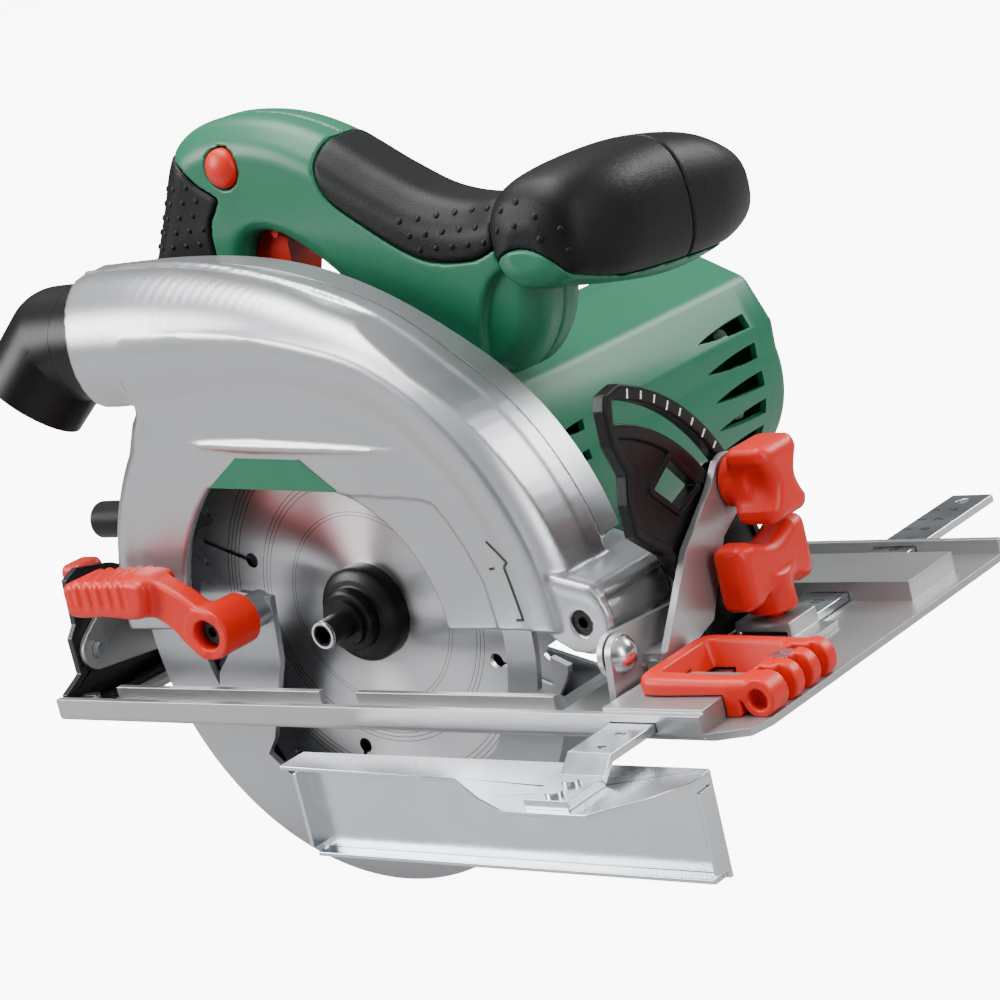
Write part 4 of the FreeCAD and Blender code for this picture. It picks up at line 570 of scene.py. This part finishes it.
def studs(name, skin, rows, towards, radius):
    """A low dome on the skin wherever a ray from each start point meets it."""
    bpy.context.view_layer.update()
    points, facing = [], []
    for start in rows:
        hit, where, normal, _ = skin.ray_cast(Vector(start) / 1000.0, Vector(towards))
        if hit:
            points.append(where)
            facing.append(normal)
    mesh = bpy.data.meshes.new(name)
    mesh.from_pydata(points, [], [])
    mesh.attributes.new("facing", "FLOAT_VECTOR", "POINT").data.foreach_set(
        "vector", [c for n in facing for c in n])
    holder = bpy.data.objects.new(name + "_points", mesh)
    bpy.context.collection.objects.link(holder)
    tree = bpy.data.node_groups.new(name, "GeometryNodeTree")
    tree.interface.new_socket("Geometry", in_out="INPUT", socket_type="NodeSocketGeometry")
    size = tree.interface.new_socket("Stud Radius", in_out="INPUT", socket_type="NodeSocketFloat")
    tree.interface.new_socket("Geometry", in_out="OUTPUT", socket_type="NodeSocketGeometry")
    give, take = tree.nodes.new("NodeGroupInput"), tree.nodes.new("NodeGroupOutput")
    ball = tree.nodes.new("GeometryNodeMeshUVSphere")
    ball.inputs["Segments"].default_value, ball.inputs["Rings"].default_value = 14, 8
    tree.links.new(give.outputs["Stud Radius"], ball.inputs["Radius"])
    turn = tree.nodes.new("FunctionNodeAlignRotationToVector")
    read = tree.nodes.new("GeometryNodeInputNamedAttribute")
    read.data_type = "FLOAT_VECTOR"
    read.inputs["Name"].default_value = "facing"
    tree.links.new(read.outputs["Attribute"], turn.inputs["Vector"])
    put = tree.nodes.new("GeometryNodeInstanceOnPoints")
    put.inputs["Scale"].default_value = (1, 1, 0.55)
    real, paint = tree.nodes.new("GeometryNodeRealizeInstances"), tree.nodes.new("GeometryNodeSetMaterial")
    smooth = tree.nodes.new("GeometryNodeSetShadeSmooth")
    paint.inputs["Material"].default_value = black_rubber
    tree.links.new(give.outputs["Geometry"], put.inputs["Points"])
    tree.links.new(ball.outputs["Mesh"], put.inputs["Instance"])
    tree.links.new(turn.outputs["Rotation"], put.inputs["Rotation"])
    for a, b in ((put, real), (real, smooth), (smooth, paint), (paint, take)):
        tree.links.new(a.outputs[0], b.inputs[0])
    holder.modifiers.new("studs", "NODES").node_group = tree
    holder.modifiers["studs"][size.identifier] = radius / 1000.0
    bpy.context.view_layer.update()
    solid = bpy.data.meshes.new_from_object(holder.evaluated_get(bpy.context.evaluated_depsgraph_get()))
    bpy.data.objects.remove(holder)
    solid.name = name
    place(name, solid, black_rubber, "saw", "black_rubber")


def staggered(x0, x1, z0, z1, gap, y):
    """Offset rows of points over a rectangle."""
    return [(x0 + gap * (i + 0.5 * (j % 2)), y, z0 + 0.75 * gap * j)
            for j in range(int((z1 - z0) / gap / 0.75) + 1) for i in range(int((x1 - x0) / gap) + 1)]


def inside_zone(rows, zone):
    """Only the points that lie well inside one of the handle's rubber zones."""
    xs, zs, margin = handle.x.ravel(), handle.z.ravel(), 2.6
    return [p for p in rows if zone[np.abs(xs - p[0]).argmin(), 0, np.abs(zs - p[2]).argmin()] < -margin]


for near, start, way in (("near", 0.0, (0, 1, 0)), ("far", 90.0, (0, -1, 0))):
    rows = inside_zone(staggered(-104, -56, 98, 172, 6.6, start), rear_zone)
    studs("rear_studs_" + near, rear_skin, rows, way, 1.05)
    rows = inside_zone(staggered(26, 66, 137, 147, 6.6, start), top_zone)
    studs("top_studs_" + near, top_skin, rows, way, 1.1)
thumb_places = ((68, 141), (70.5, 147), (77, 149), (76, 142), (84, 144), (85, 137), (92, 139), (93, 132))
studs("thumb_studs", pad_skin, [(x, 0, z) for x, z in thumb_places], (0, 1, 0), 1.15)

# ---------------------------------------------------------------- lock-off button
# A domed red button in a fine dark gap on the near side of the handle.
s = Solid((-54.5, 23.5, 163.5), (-37.5, 37, 180.5), 0.4)
dome = np.hypot(rod_y(s, button_axis, 0), s.y - 33.9) - 9.4
button = smooth_max(rod_y(s, button_axis, 6.9), dome, 1.2)
button = np.maximum(button, s.y - 35.8)
red_plastic = finish("red_plastic", (0.58, 0.008, 0.0010), 0.40, grain=(2400.0, 0.05), cloud=(30.0, 0.05),
                     rub=0.03, spec=0.35)
s.to_mesh(button, "lock_off_dome", red_plastic, body_of["lock_off_button"], "red_plastic", "lock_off_button")

# ---------------------------------------------------------------- wing knobs
# Three plump red wing knobs. Each wing is pinched at its waist, rounded all over, and blends
# into the short neck that holds the clamp nut.


def bow_tie(a, b, half_a, half_b, waist):
    """Flat field of a wing: wide at both ends of a, pinched at the middle."""
    pinch = waist + (1 - waist) * np.clip(np.abs(a) / (half_a * 0.62), 0, 1) ** 1.6
    return smooth_max(np.abs(b) - half_b * pinch, np.abs(a) - half_a, 3.0)


tilt_y, tilt_z, slot_radius = -24.0, 19.0, 72


def about_tilt(radius, degrees):
    """A point round the axis that the saw tilts about."""
    a = math.radians(degrees)
    return (tilt_y + radius * math.cos(a), tilt_z + radius * math.sin(a))


front_y, front_z = about_tilt(slot_radius, 27.5)
rear_y, rear_z = about_tilt(21.6, 34)
s = Solid((124, front_y - 11.5, front_z - 14), (147.5, front_y + 11.5, front_z + 14), 0.42)
dy, dz = s.y - front_y, s.z - front_z
wing = rounded_plate(bow_tie(dz, dy, 12.3, 9.9, 0.66), s.x - 137.6, 8.3, 4.2)
knob = smooth_min(wing, np.maximum(np.hypot(dy, dz) - 8.4 + 0.05 * (s.x - 125), np.abs(s.x - 130) - 4.7), 3.0)
knob = np.maximum(knob, -np.maximum(np.hypot(dy, dz) - 3.1, s.x - 139.6))
s.to_mesh(knob, "front_wing", red_plastic, body_of["bevel_knob_front"], "red_plastic", "bevel_knob_front")
s = Solid((-136, rear_y - 8, rear_z - 16.5), (-115, rear_y + 8, rear_z + 16.5), 0.42)
dy, dz = s.y - rear_y, s.z - rear_z
wing = rounded_plate(bow_tie(dz, dy, 14.8, 6.4, 0.7), s.x + 128.8, 5.9, 3.4)
knob = smooth_min(wing, np.maximum(np.hypot(dy, dz) - 7.4, np.abs(s.x + 119.6) - 3.7), 2.5)
knob = np.maximum(knob, -np.maximum(np.hypot(dy, dz) - 3.1, -128.9 - s.x))
s.to_mesh(knob, "rear_wing", red_plastic, body_of["bevel_wing_rear"], "red_plastic", "bevel_wing_rear")
s = Solid((124, 15.5, 4.5), (142, 56.5, 38.5), 0.42)
dx, dy, dz = s.x - 133, s.y - 36.0, s.z - 26.5
wing = rounded_plate(bow_tie(dy, dz, 18.8, 10.4, 0.64), dx, 6.4, 3.8)
neck = np.maximum(np.hypot(dx, dy) - 7.9 + 0.06 * (s.z - 12), np.abs(s.z - 17) - 5.4)
core = np.maximum(np.hypot(dx, dy) - 3.0, np.maximum(5.7 - s.z, s.z - 14))
knob = np.minimum(smooth_min(wing, neck, 3.5), core)
s.to_mesh(knob, "guide_wing", red_plastic, body_of["fence_knob"], "red_plastic", "fence_knob")

# ---------------------------------------------------------------- guard lever
# The red lever that opens the lower guard: a ribbed thumb pad, a cranked arm and a round hub
# with a recess for its screw.
s = Solid((-98, -48.5, 19), (-25, -23, 54), 0.45)
lever_axis = (-36, 31)
arm_line = [(-31, 36), (-38, 41), (-46, 46.4), (-56, 50.6), (-70, 51.2), (-70, 38), (-60, 37), (-52, 32.5),
            (-46, 26), (-38, 22.4)]
arm_2d = flat_shape(smooth_loop(arm_line), s.x, s.z)
pad_line = [(-57, 51.2), (-76, 51.8), (-93, 51), (-95.6, 45), (-93.4, 38.6), (-78, 38.2), (-61, 37.6),
            (-56, 43)]
pad_2d = flat_shape(smooth_loop(pad_line), s.x, s.z)
lever_arm = rounded_plate(arm_2d, s.y + 37.5, 4.5, 2.2)
lever = smooth_min(lever_arm, rounded_plate(pad_2d, s.y + 38.0, 9.0, 3.0), 3.0)
ridge = np.clip(np.sin((s.x * 0.9 + s.y * 0.45) * 2 * math.pi / 4.6), -0.7, 0.7)
along = np.clip(np.minimum(s.x + 91, -62 - s.x) / 2.0, 0, 1)
above = np.clip((s.z - 41) / 3.0, 0, 1)
lever = lever + 0.32 - 0.45 * ridge * along * above
hub = np.maximum(rod_y(s, lever_axis, 8.8), np.abs(s.y + 33.1) - 8.7)
hub = smooth_max(hub, -41.6 - s.y, 1.5)
lever = smooth_min(lever, hub, 1.6)
lever = smooth_max(lever, -np.maximum(rod_y(s, lever_axis, 5.2), s.y + 36.2), 0.7)
lever = np.maximum(lever, -rod_y(s, lever_axis, 2.2))
s.to_mesh(lever, "guard_lever_moulding", red_plastic, body_of["guard_lever"], "red_plastic", "guard_lever")

# ---------------------------------------------------------------- cutting line sight
# A red moulded frame round a window with sloping walls. Its front edge is notched into round
# humps that show where the blade cuts.
s = Solid((124.5, -34.5, 1.9), (176, 8.5, 15.5), 0.42)
plan_line = [(126.5, -26), (129, -31), (134, -32.6), (150, -31.8), (166, -30.2), (172, -26.5), (173.6, -18),
             (173.6, 0), (171, 5), (164, 6.8), (140, 6.8), (130, 6), (126.5, 1), (126.2, -12)]
plan = flat_shape(smooth_loop(plan_line, 6), s.x, s.y)
hump_x, foot_top = 168.2, 2.52
top = 14.0 - 0.03 * (s.x - 150)
frame_body = smooth_max(smooth_max(plan, s.z - top, 3.0), 2.55 - s.z, 0.3)
opening = flat_shape([(135, -22), (158, -22), (158, -2), (135, -2)], s.x, s.y)
frame_body = smooth_max(frame_body, 0.34 * (s.z - 4.0) - opening, 1.0)
front_way = box_shape(s, (100, -60, 0), (157.4, -11.6, 9.4))
frame_body = smooth_max(frame_body, -front_way, 0.5)
bar_under = box_shape(s, (124.4, -40, 0), (141.6, 20, 6.1))
frame_body = np.maximum(frame_body, -bar_under)
scoop = np.maximum(162.2 - s.x, 6.2 - np.hypot(s.x - 162.4, s.z - 13.6))
frame_body = smooth_max(frame_body, -scoop, 1.0)
for y0, y1 in ((-30.2, -20.9), (-17.1, -11.9), (-8.1, -2.9), (0.9, 6.2)):
    ends = np.abs(s.y - (y0 + y1) / 2) - (y1 - y0) / 2
    hump = np.maximum(np.hypot((s.x - hump_x) * 1.08, s.z - 8.0) - 5.9, ends)
    frame_body = smooth_min(frame_body, smooth_max(hump, ends, 1.0), 0.6)
for y in (-19.0, -10.0, -1.0):
    notch = np.maximum(np.abs(s.y - y) - 1.3, np.maximum(162.5 - s.x, 6.5 - s.z))
    frame_body = smooth_max(frame_body, -notch, 0.8)
frame_body = smooth_max(frame_body, -np.maximum(np.hypot(s.x - hump_x, s.z - 7.6) - 3.2, s.y + 26), 0.6)
from_screw = np.hypot(s.x - 163, s.y + 6)
frame_body = np.maximum(frame_body, -np.maximum(from_screw - 4.3, 10.9 - s.z))
frame_body = np.maximum(frame_body, 2.1 - from_screw)
frame_body = np.maximum(frame_body, foot_top - s.z)
s.to_mesh(frame_body, "sight_frame", red_plastic, body_of["cut_line_sight"], "red_plastic", "cut_line_sight")

# ---------------------------------------------------------------- bevel quadrant
# A thick black quadrant with a raised rim, an arc slot for the clamp bolt and a lightening
# window. White ticks run along the rim every five degrees, with plain numbers every fifteen.
s = Solid((105.5, -12.0, 1.9), (123, 61.5, 98), 0.45)


face_line = [about_tilt(80.2, a) for a in range(30, 70, 3)] + [
    (-1, 96.0), (-8.6, 94.6), (-10.5, 90), (-10.5, 79), (-6.4, 69), (-8.8, 60), (-8.6, 50), (4, 40), (12, 26),
    (16, 2.6), (60, 2.6), (60, 12), (53, 34)]
face = flat_shape(face_line, s.y, s.z)
from_tilt = np.hypot(s.y - tilt_y, s.z - tilt_z)
bearing = np.degrees(np.arctan2(s.z - tilt_z, s.y - tilt_y))
slot_2d = np.maximum(np.abs(from_tilt - slot_radius) - 3.5, np.maximum(24.0 - bearing, bearing - 75.8) * 1.2)
hole_2d = flat_shape([about_tilt(r, a) for r, a in ((62, 36), (62, 50), (51, 55), (51, 40))], s.y, s.z)
plate = smooth_max(rounded_plate(face, s.x - 119.3, 2.5, 0.8), -slot_2d, 0.8)
plate = smooth_max(plate, -hole_2d, 0.8)
recess = np.maximum(np.maximum(face + 3.4, 4.6 - slot_2d), np.maximum(2.4 - hole_2d, 120.8 - s.x))
plate = smooth_max(plate, -recess, 0.6)
foot_block = box_shape(s, (107.2, 35, 2.55), (118, 60, 5.5))
plate = smooth_min(plate, foot_block, 0.6)
for y in (40.0, 55.0):
    plate = np.maximum(plate, 2.1 - np.hypot(s.x - 111.5, s.y - y))
plate = np.maximum(plate, foot_top - s.z)
black_plastic = finish("black_plastic", (0.003, 0.0033, 0.0036), 0.34, grain=(2400.0, 0.10),
                       cloud=(40.0, 0.15), rub=0.05, spec=0.22)
s.to_mesh(plate, "quadrant_moulding", black_plastic, body_of["bevel_scale"], "black_plastic", "bevel_scale")


def mark(name, corners, lift):
    """A thin printed mark: a flat outline given a little thickness."""
    b = bmesh.new()
    f = b.faces.new([b.verts.new(Vector(c) / 1000.0) for c in corners])
    out = bmesh.ops.extrude_face_region(b, geom=[f])
    bmesh.ops.translate(b, verts=[v for v in out["geom"] if isinstance(v, bmesh.types.BMVert)],
                        vec=Vector(lift) / 1000.0)
    bmesh.ops.recalc_face_normals(b, faces=b.faces)
    mesh = bpy.data.meshes.new(name)
    b.to_mesh(mesh)
    b.free()
    return mesh


def lettering(text, height, where, turn):
    """Plain numbers as a thin mesh, placed by a matrix."""
    curve = bpy.data.curves.new("numbers", "FONT")
    curve.body, curve.size, curve.extrude = text, height / 1000.0, 0.00006
    curve.align_x, curve.align_y = "CENTER", "CENTER"
    holder = bpy.data.objects.new("numbers", curve)
    bpy.context.collection.objects.link(holder)
    bpy.context.view_layer.update()
    mesh = bpy.data.meshes.new_from_object(holder.evaluated_get(bpy.context.evaluated_depsgraph_get()))
    bpy.data.objects.remove(holder)
    mesh.transform(Matrix.Translation(Vector(where) / 1000.0) @ turn.to_4x4())
    return mesh


def joined(name, meshes, material, body, slot):
    b = bmesh.new()
    for m in meshes:
        b.from_mesh(m)
    mesh = bpy.data.meshes.new(name)
    b.to_mesh(mesh)
    b.free()
    return place(name, mesh, material, body, slot)


white_print = finish("white_print", (0.75, 0.75, 0.73), 0.5, grain=(900.0, 0.02), cloud=(40.0, 0.1),
                     rub=0.0)
marks, zero_bearing = [], 70.5
for k in range(0, 46, 5):
    a, r0 = zero_bearing - k, 76.4 if k % 15 else 75.9
    (ya, za), (yb, zb) = about_tilt(r0, a), about_tilt(78.9, a)
    across = Vector((0, -math.sin(math.radians(a)), math.cos(math.radians(a)))) * 0.35
    lo, hi = Vector((121.72, ya, za)), Vector((121.72, yb, zb))
    marks.append(mark("tick", [lo - across, lo + across, hi + across, hi - across], (0.14, 0, 0)))
facing_front = Matrix(((0, 0, 1), (1, 0, 0), (0, 1, 0)))
for k in (0, 15, 30, 45):
    y, z = about_tilt(66.3, zero_bearing - k)
    roll = Matrix.Rotation(math.radians(zero_bearing - 90 - k), 3, "X")
    marks.append(lettering(str(k), 4.4, (120.92, y, z), roll @ facing_front))
joined("quadrant_marks", marks, white_print, body_of["bevel_scale"], "black_plastic")

# ---------------------------------------------------------------- web trim
# A plain green plate sits just above the window, and a thin arrow is printed on the web.
plate_line = [(-38.2, 75.3), (-22.7, 85.1), (4.5, 83.4), (17.6, 72.2)]
mesh = mark("plain_plate", [(x, web_face - 0.02, z) for x, z in plate_line], (0, -0.7, 0))
place("plain_plate", mesh, green_plastic, "saw", "green_plastic")
arrow = [[(74.4, 54.5), (81.5, 47.9)], [(81.5, 47.9), (79.5, 46.3)], [(79.5, 46.3), (82.3, 29.1)],
         [(82.3, 29.1), (79.0, 28.8)], [(72.9, 45.4), (75.0, 45.7)]]
strokes = []
for (xa, za), (xb, zb) in arrow:
    n = Vector((zb - za, 0, xa - xb)).normalized() * 0.42
    way = [Vector((xa + (xb - xa) * i / 10.0, -60, za + (zb - za) * i / 10.0)) for i in range(11)]
    for p in way:
        met = [casting.ray_cast((p + side) / 1000.0, Vector((0, 1, 0)))[1].y for side in (-n, n)]
        p.y = min(met) * 1000.0 - 0.04
    for a, b in zip(way, way[1:]):
        strokes.append(mark("stroke", [a - n, a + n, b + n, b - n], (0, -0.1, 0)))
black_print = finish("black_print", (0.015, 0.015, 0.016), 0.5, grain=(900.0, 0.02), cloud=(40.0, 0.1),
                     rub=0.0)
joined("direction_arrow", strokes, black_print, "saw", "guard_silver")

# ---------------------------------------------------------------- blade and flanges
# Turned and ground steel: the ring marks of the grinding throw fans of light round the centre,
# and a few fine rings are cut into the blade.
ground_steel = finish("ground_steel", (0.60, 0.61, 0.63), 0.30, grain=(900.0, 0.02), cloud=(50.0, 0.15),
                      rub=0.0, metal=1.0)
tree = ground_steel.node_tree
shader = tree.nodes["Principled BSDF"]
at = next(n for n in tree.nodes if n.bl_idname == "ShaderNodeTexCoord").outputs["Object"]
centre = tree.nodes.new("ShaderNodeVectorMath")
centre.operation = "SUBTRACT"
centre.inputs[1].default_value = (blade_axis[0] / 1000, 0, blade_axis[1] / 1000)
tree.links.new(at, centre.inputs[0])
flat = tree.nodes.new("ShaderNodeVectorMath")
flat.operation = "MULTIPLY"
flat.inputs[1].default_value = (1, 0, 1)
tree.links.new(centre.outputs[0], flat.inputs[0])
world_way = tree.nodes.new("ShaderNodeVectorTransform")
world_way.vector_type, world_way.convert_from, world_way.convert_to = "VECTOR", "OBJECT", "WORLD"
tree.links.new(flat.outputs[0], world_way.inputs[0])
tree.links.new(world_way.outputs[0], shader.inputs["Tangent"])
shader.inputs["Anisotropic"].default_value = 0.95
away = tree.nodes.new("ShaderNodeVectorMath")
away.operation = "LENGTH"
tree.links.new(flat.outputs[0], away.inputs[0])
rings = None
for centre_r, spread, pitch in ((0.0605, 0.0032, 0.0016), (0.0455, 0.0022, 0.0015), (0.0335, 0.0012, 0.0012)):
    off = math_node(tree, "ABSOLUTE", math_node(tree, "SUBTRACT", away.outputs["Value"], centre_r))
    band = math_node(tree, "LESS_THAN", off, spread)
    swing = math_node(tree, "SINE", math_node(tree, "MULTIPLY", away.outputs["Value"], 2 * math.pi / pitch))
    wave = math_node(tree, "GREATER_THAN", swing, 0.86)
    cut = math_node(tree, "MULTIPLY", band, wave)
    rings = cut if rings is None else math_node(tree, "MAXIMUM", rings, cut)
base = shader.inputs["Base Color"].links[0].from_socket
tree.links.new(mix_color(tree, math_node(tree, "MULTIPLY", rings, 0.8), base, (0.03, 0.03, 0.03)),
               shader.inputs["Base Color"])


def turned(name, profile, material, body, slot, *replaced):
    """A lathe-turned ring: a closed profile of (radius, y) spun round the blade's axis."""
    n, steps, verts, quads = len(profile), 72, [], []
    for i in range(steps):
        a = 2 * math.pi * i / steps
        verts += [(blade_axis[0] + r * math.cos(a), y, blade_axis[1] + r * math.sin(a)) for r, y in profile]
    for i in range(steps):
        for j in range(n):
            k, q = (i + 1) % steps, (j + 1) % n
            quads.append((i * n + j, k * n + j, k * n + q, i * n + q))
    mesh = bpy.data.meshes.new(name)
    mesh.from_pydata([[v / 1000 for v in point] for point in verts], [], quads)
    b = bmesh.new()
    b.from_mesh(mesh)
    bmesh.ops.recalc_face_normals(b, faces=b.faces)
    b.to_mesh(mesh)
    b.free()
    mesh.shade_smooth()
    mesh.set_sharp_from_angle(angle=math.radians(28))
    return place(name, mesh, material, body, slot, *replaced)


black_oxide = finish("black_oxide", (0.012, 0.012, 0.013), 0.36, grain=(1400.0, 0.05), cloud=(60.0, 0.3),
                     rub=0.0, metal=0.6)
zinc = finish("zinc_plate", (0.60, 0.63, 0.66), 0.24, grain=(900.0, 0.04), cloud=(60.0, 0.25), rub=0.0,
              metal=1.0)
flange_side = [(4.1, -13.5), (9.6, -13.5), (10.4, -12.9), (10.6, -8.9), (11.4, -8.5), (12.6, -8.5),
               (13.2, -8.2), (14.6, -7.6), (15.6, -7.0), (16.2, -6.2), (16.5, -5.4), (16.5, -0.82),
               (10.15, -0.82), (10.15, -3.2), (4.1, -3.2)]
turned("flange_turning", flange_side, black_oxide, body_of["outer_flange"], "dark_steel", "outer_flange")
nose_side = [(3.75, -25.4), (3.75, -25.58), (4.5, -25.58), (4.82, -25.2), (4.82, -24.6), (4.6, -24.6),
             (4.3, -25.3)]
turned("nose_ring", nose_side, zinc, body_of["clamp_screw"], "zinc_steel")

# ---------------------------------------------------------------- guide bar scale
# Ticks and plain numbers every ten millimetres along the far length of the guide bar, and
# numbers alone at its near end.
marks, bar_top, sideways = [], 5.52, Matrix.Rotation(math.pi / 2, 3, "Z")
for i, y in enumerate(range(58, 149, 10)):
    ends = ((125.6, y - 0.2), (129.4, y - 0.2), (129.4, y + 0.2), (125.6, y + 0.2))
    marks.append(mark("tick", [(*end, bar_top) for end in ends], (0, 0, 0.06)))
    marks.append(lettering(str(15 - i), 5.0, (134.6, y, bar_top), sideways))
for i, y in enumerate((-62, -52)):
    marks.append(lettering(str(4 - i), 5.0, (134.6, y, bar_top), sideways))
joined("guide_bar_marks", marks, black_print, body_of["fence_bar"], "zinc_steel")

# ---------------------------------------------------------------- every other part
# The parts that keep the frame's own shape get smooth shading, their finish and a small bevel
# on the edges that a press, lathe or mould would break.
edge_angle = math.radians(32.0)


def crisp(name, material, slot, width):
    """A pressed, turned or moulded part with its sharp edges broken."""
    mesh = nodes[name].data.copy()
    b = bmesh.new()
    b.from_mesh(mesh)
    bmesh.ops.remove_doubles(b, verts=b.verts, dist=1e-6)
    bmesh.ops.dissolve_degenerate(b, dist=1e-6, edges=b.edges)
    for f in b.faces:
        f.smooth = True
    b.to_mesh(mesh)
    b.free()
    mesh.name = name + "_skin"
    if "custom_normal" in mesh.attributes:
        mesh.attributes.remove(mesh.attributes["custom_normal"])
    mesh.set_sharp_from_angle(angle=edge_angle)
    piece = place(name + "_skin", mesh, material, body_of[name], slot, name)
    if width:
        bevel = piece.modifiers.new("edge", "BEVEL")
        bevel.width, bevel.segments, bevel.limit_method = width, 2, "ANGLE"
        bevel.angle_limit = edge_angle
        bevel.harden_normals = True


foot_lacquer = finish("foot_lacquer", (0.42, 0.42, 0.425), 0.36, grain=(2200.0, 0.08), cloud=(30.0, 0.10),
                      rub=0.0, metal=0.8, coat=0.1)
dark_steel = finish("dark_steel", (0.055, 0.055, 0.058), 0.38, grain=(900.0, 0.08), cloud=(60.0, 0.3),
                    rub=0.0, metal=1.0)
copper = finish("lacquered_copper", (0.55, 0.20, 0.09), 0.35, grain=(500.0, 0.2), cloud=(60.0, 0.2),
                rub=0.2, metal=1.0)
brass = finish("plain_brass", (0.56, 0.40, 0.15), 0.30, grain=(700.0, 0.06), cloud=(60.0, 0.2), rub=0.2,
               metal=1.0)
finishes = {"foot_steel": foot_lacquer, "guard_silver": guard_lacquer, "zinc_steel": zinc,
            "dark_steel": dark_steel, "blade_steel": ground_steel, "green_plastic": green_plastic,
            "black_rubber": black_rubber, "black_plastic": black_plastic, "red_plastic": red_plastic,
            "copper": copper, "brass_metal": brass, "depth_pin": black_oxide, "lever_screw": black_oxide,
            "clamp_screw": black_oxide}
edge_width = {"foot_plate": 1.1, "motor_housing": 0.8, "motor_cap": 0.8, "fence_clamp_bridge": 0.9,
              "rear_housing": 1.0, "tilt_bracket_front": 0.6, "saw_blade": 0.0, "gear_case": 0.25,
              "lower_guard": 0.2}
for part in frame["record"]["subparts"]:
    name, slot = part["node"], part["material_slot"]
    if name not in remade:
        crisp(name, finishes.get(name, finishes[slot]), slot, edge_width.get(name, 0.4) / 1000)
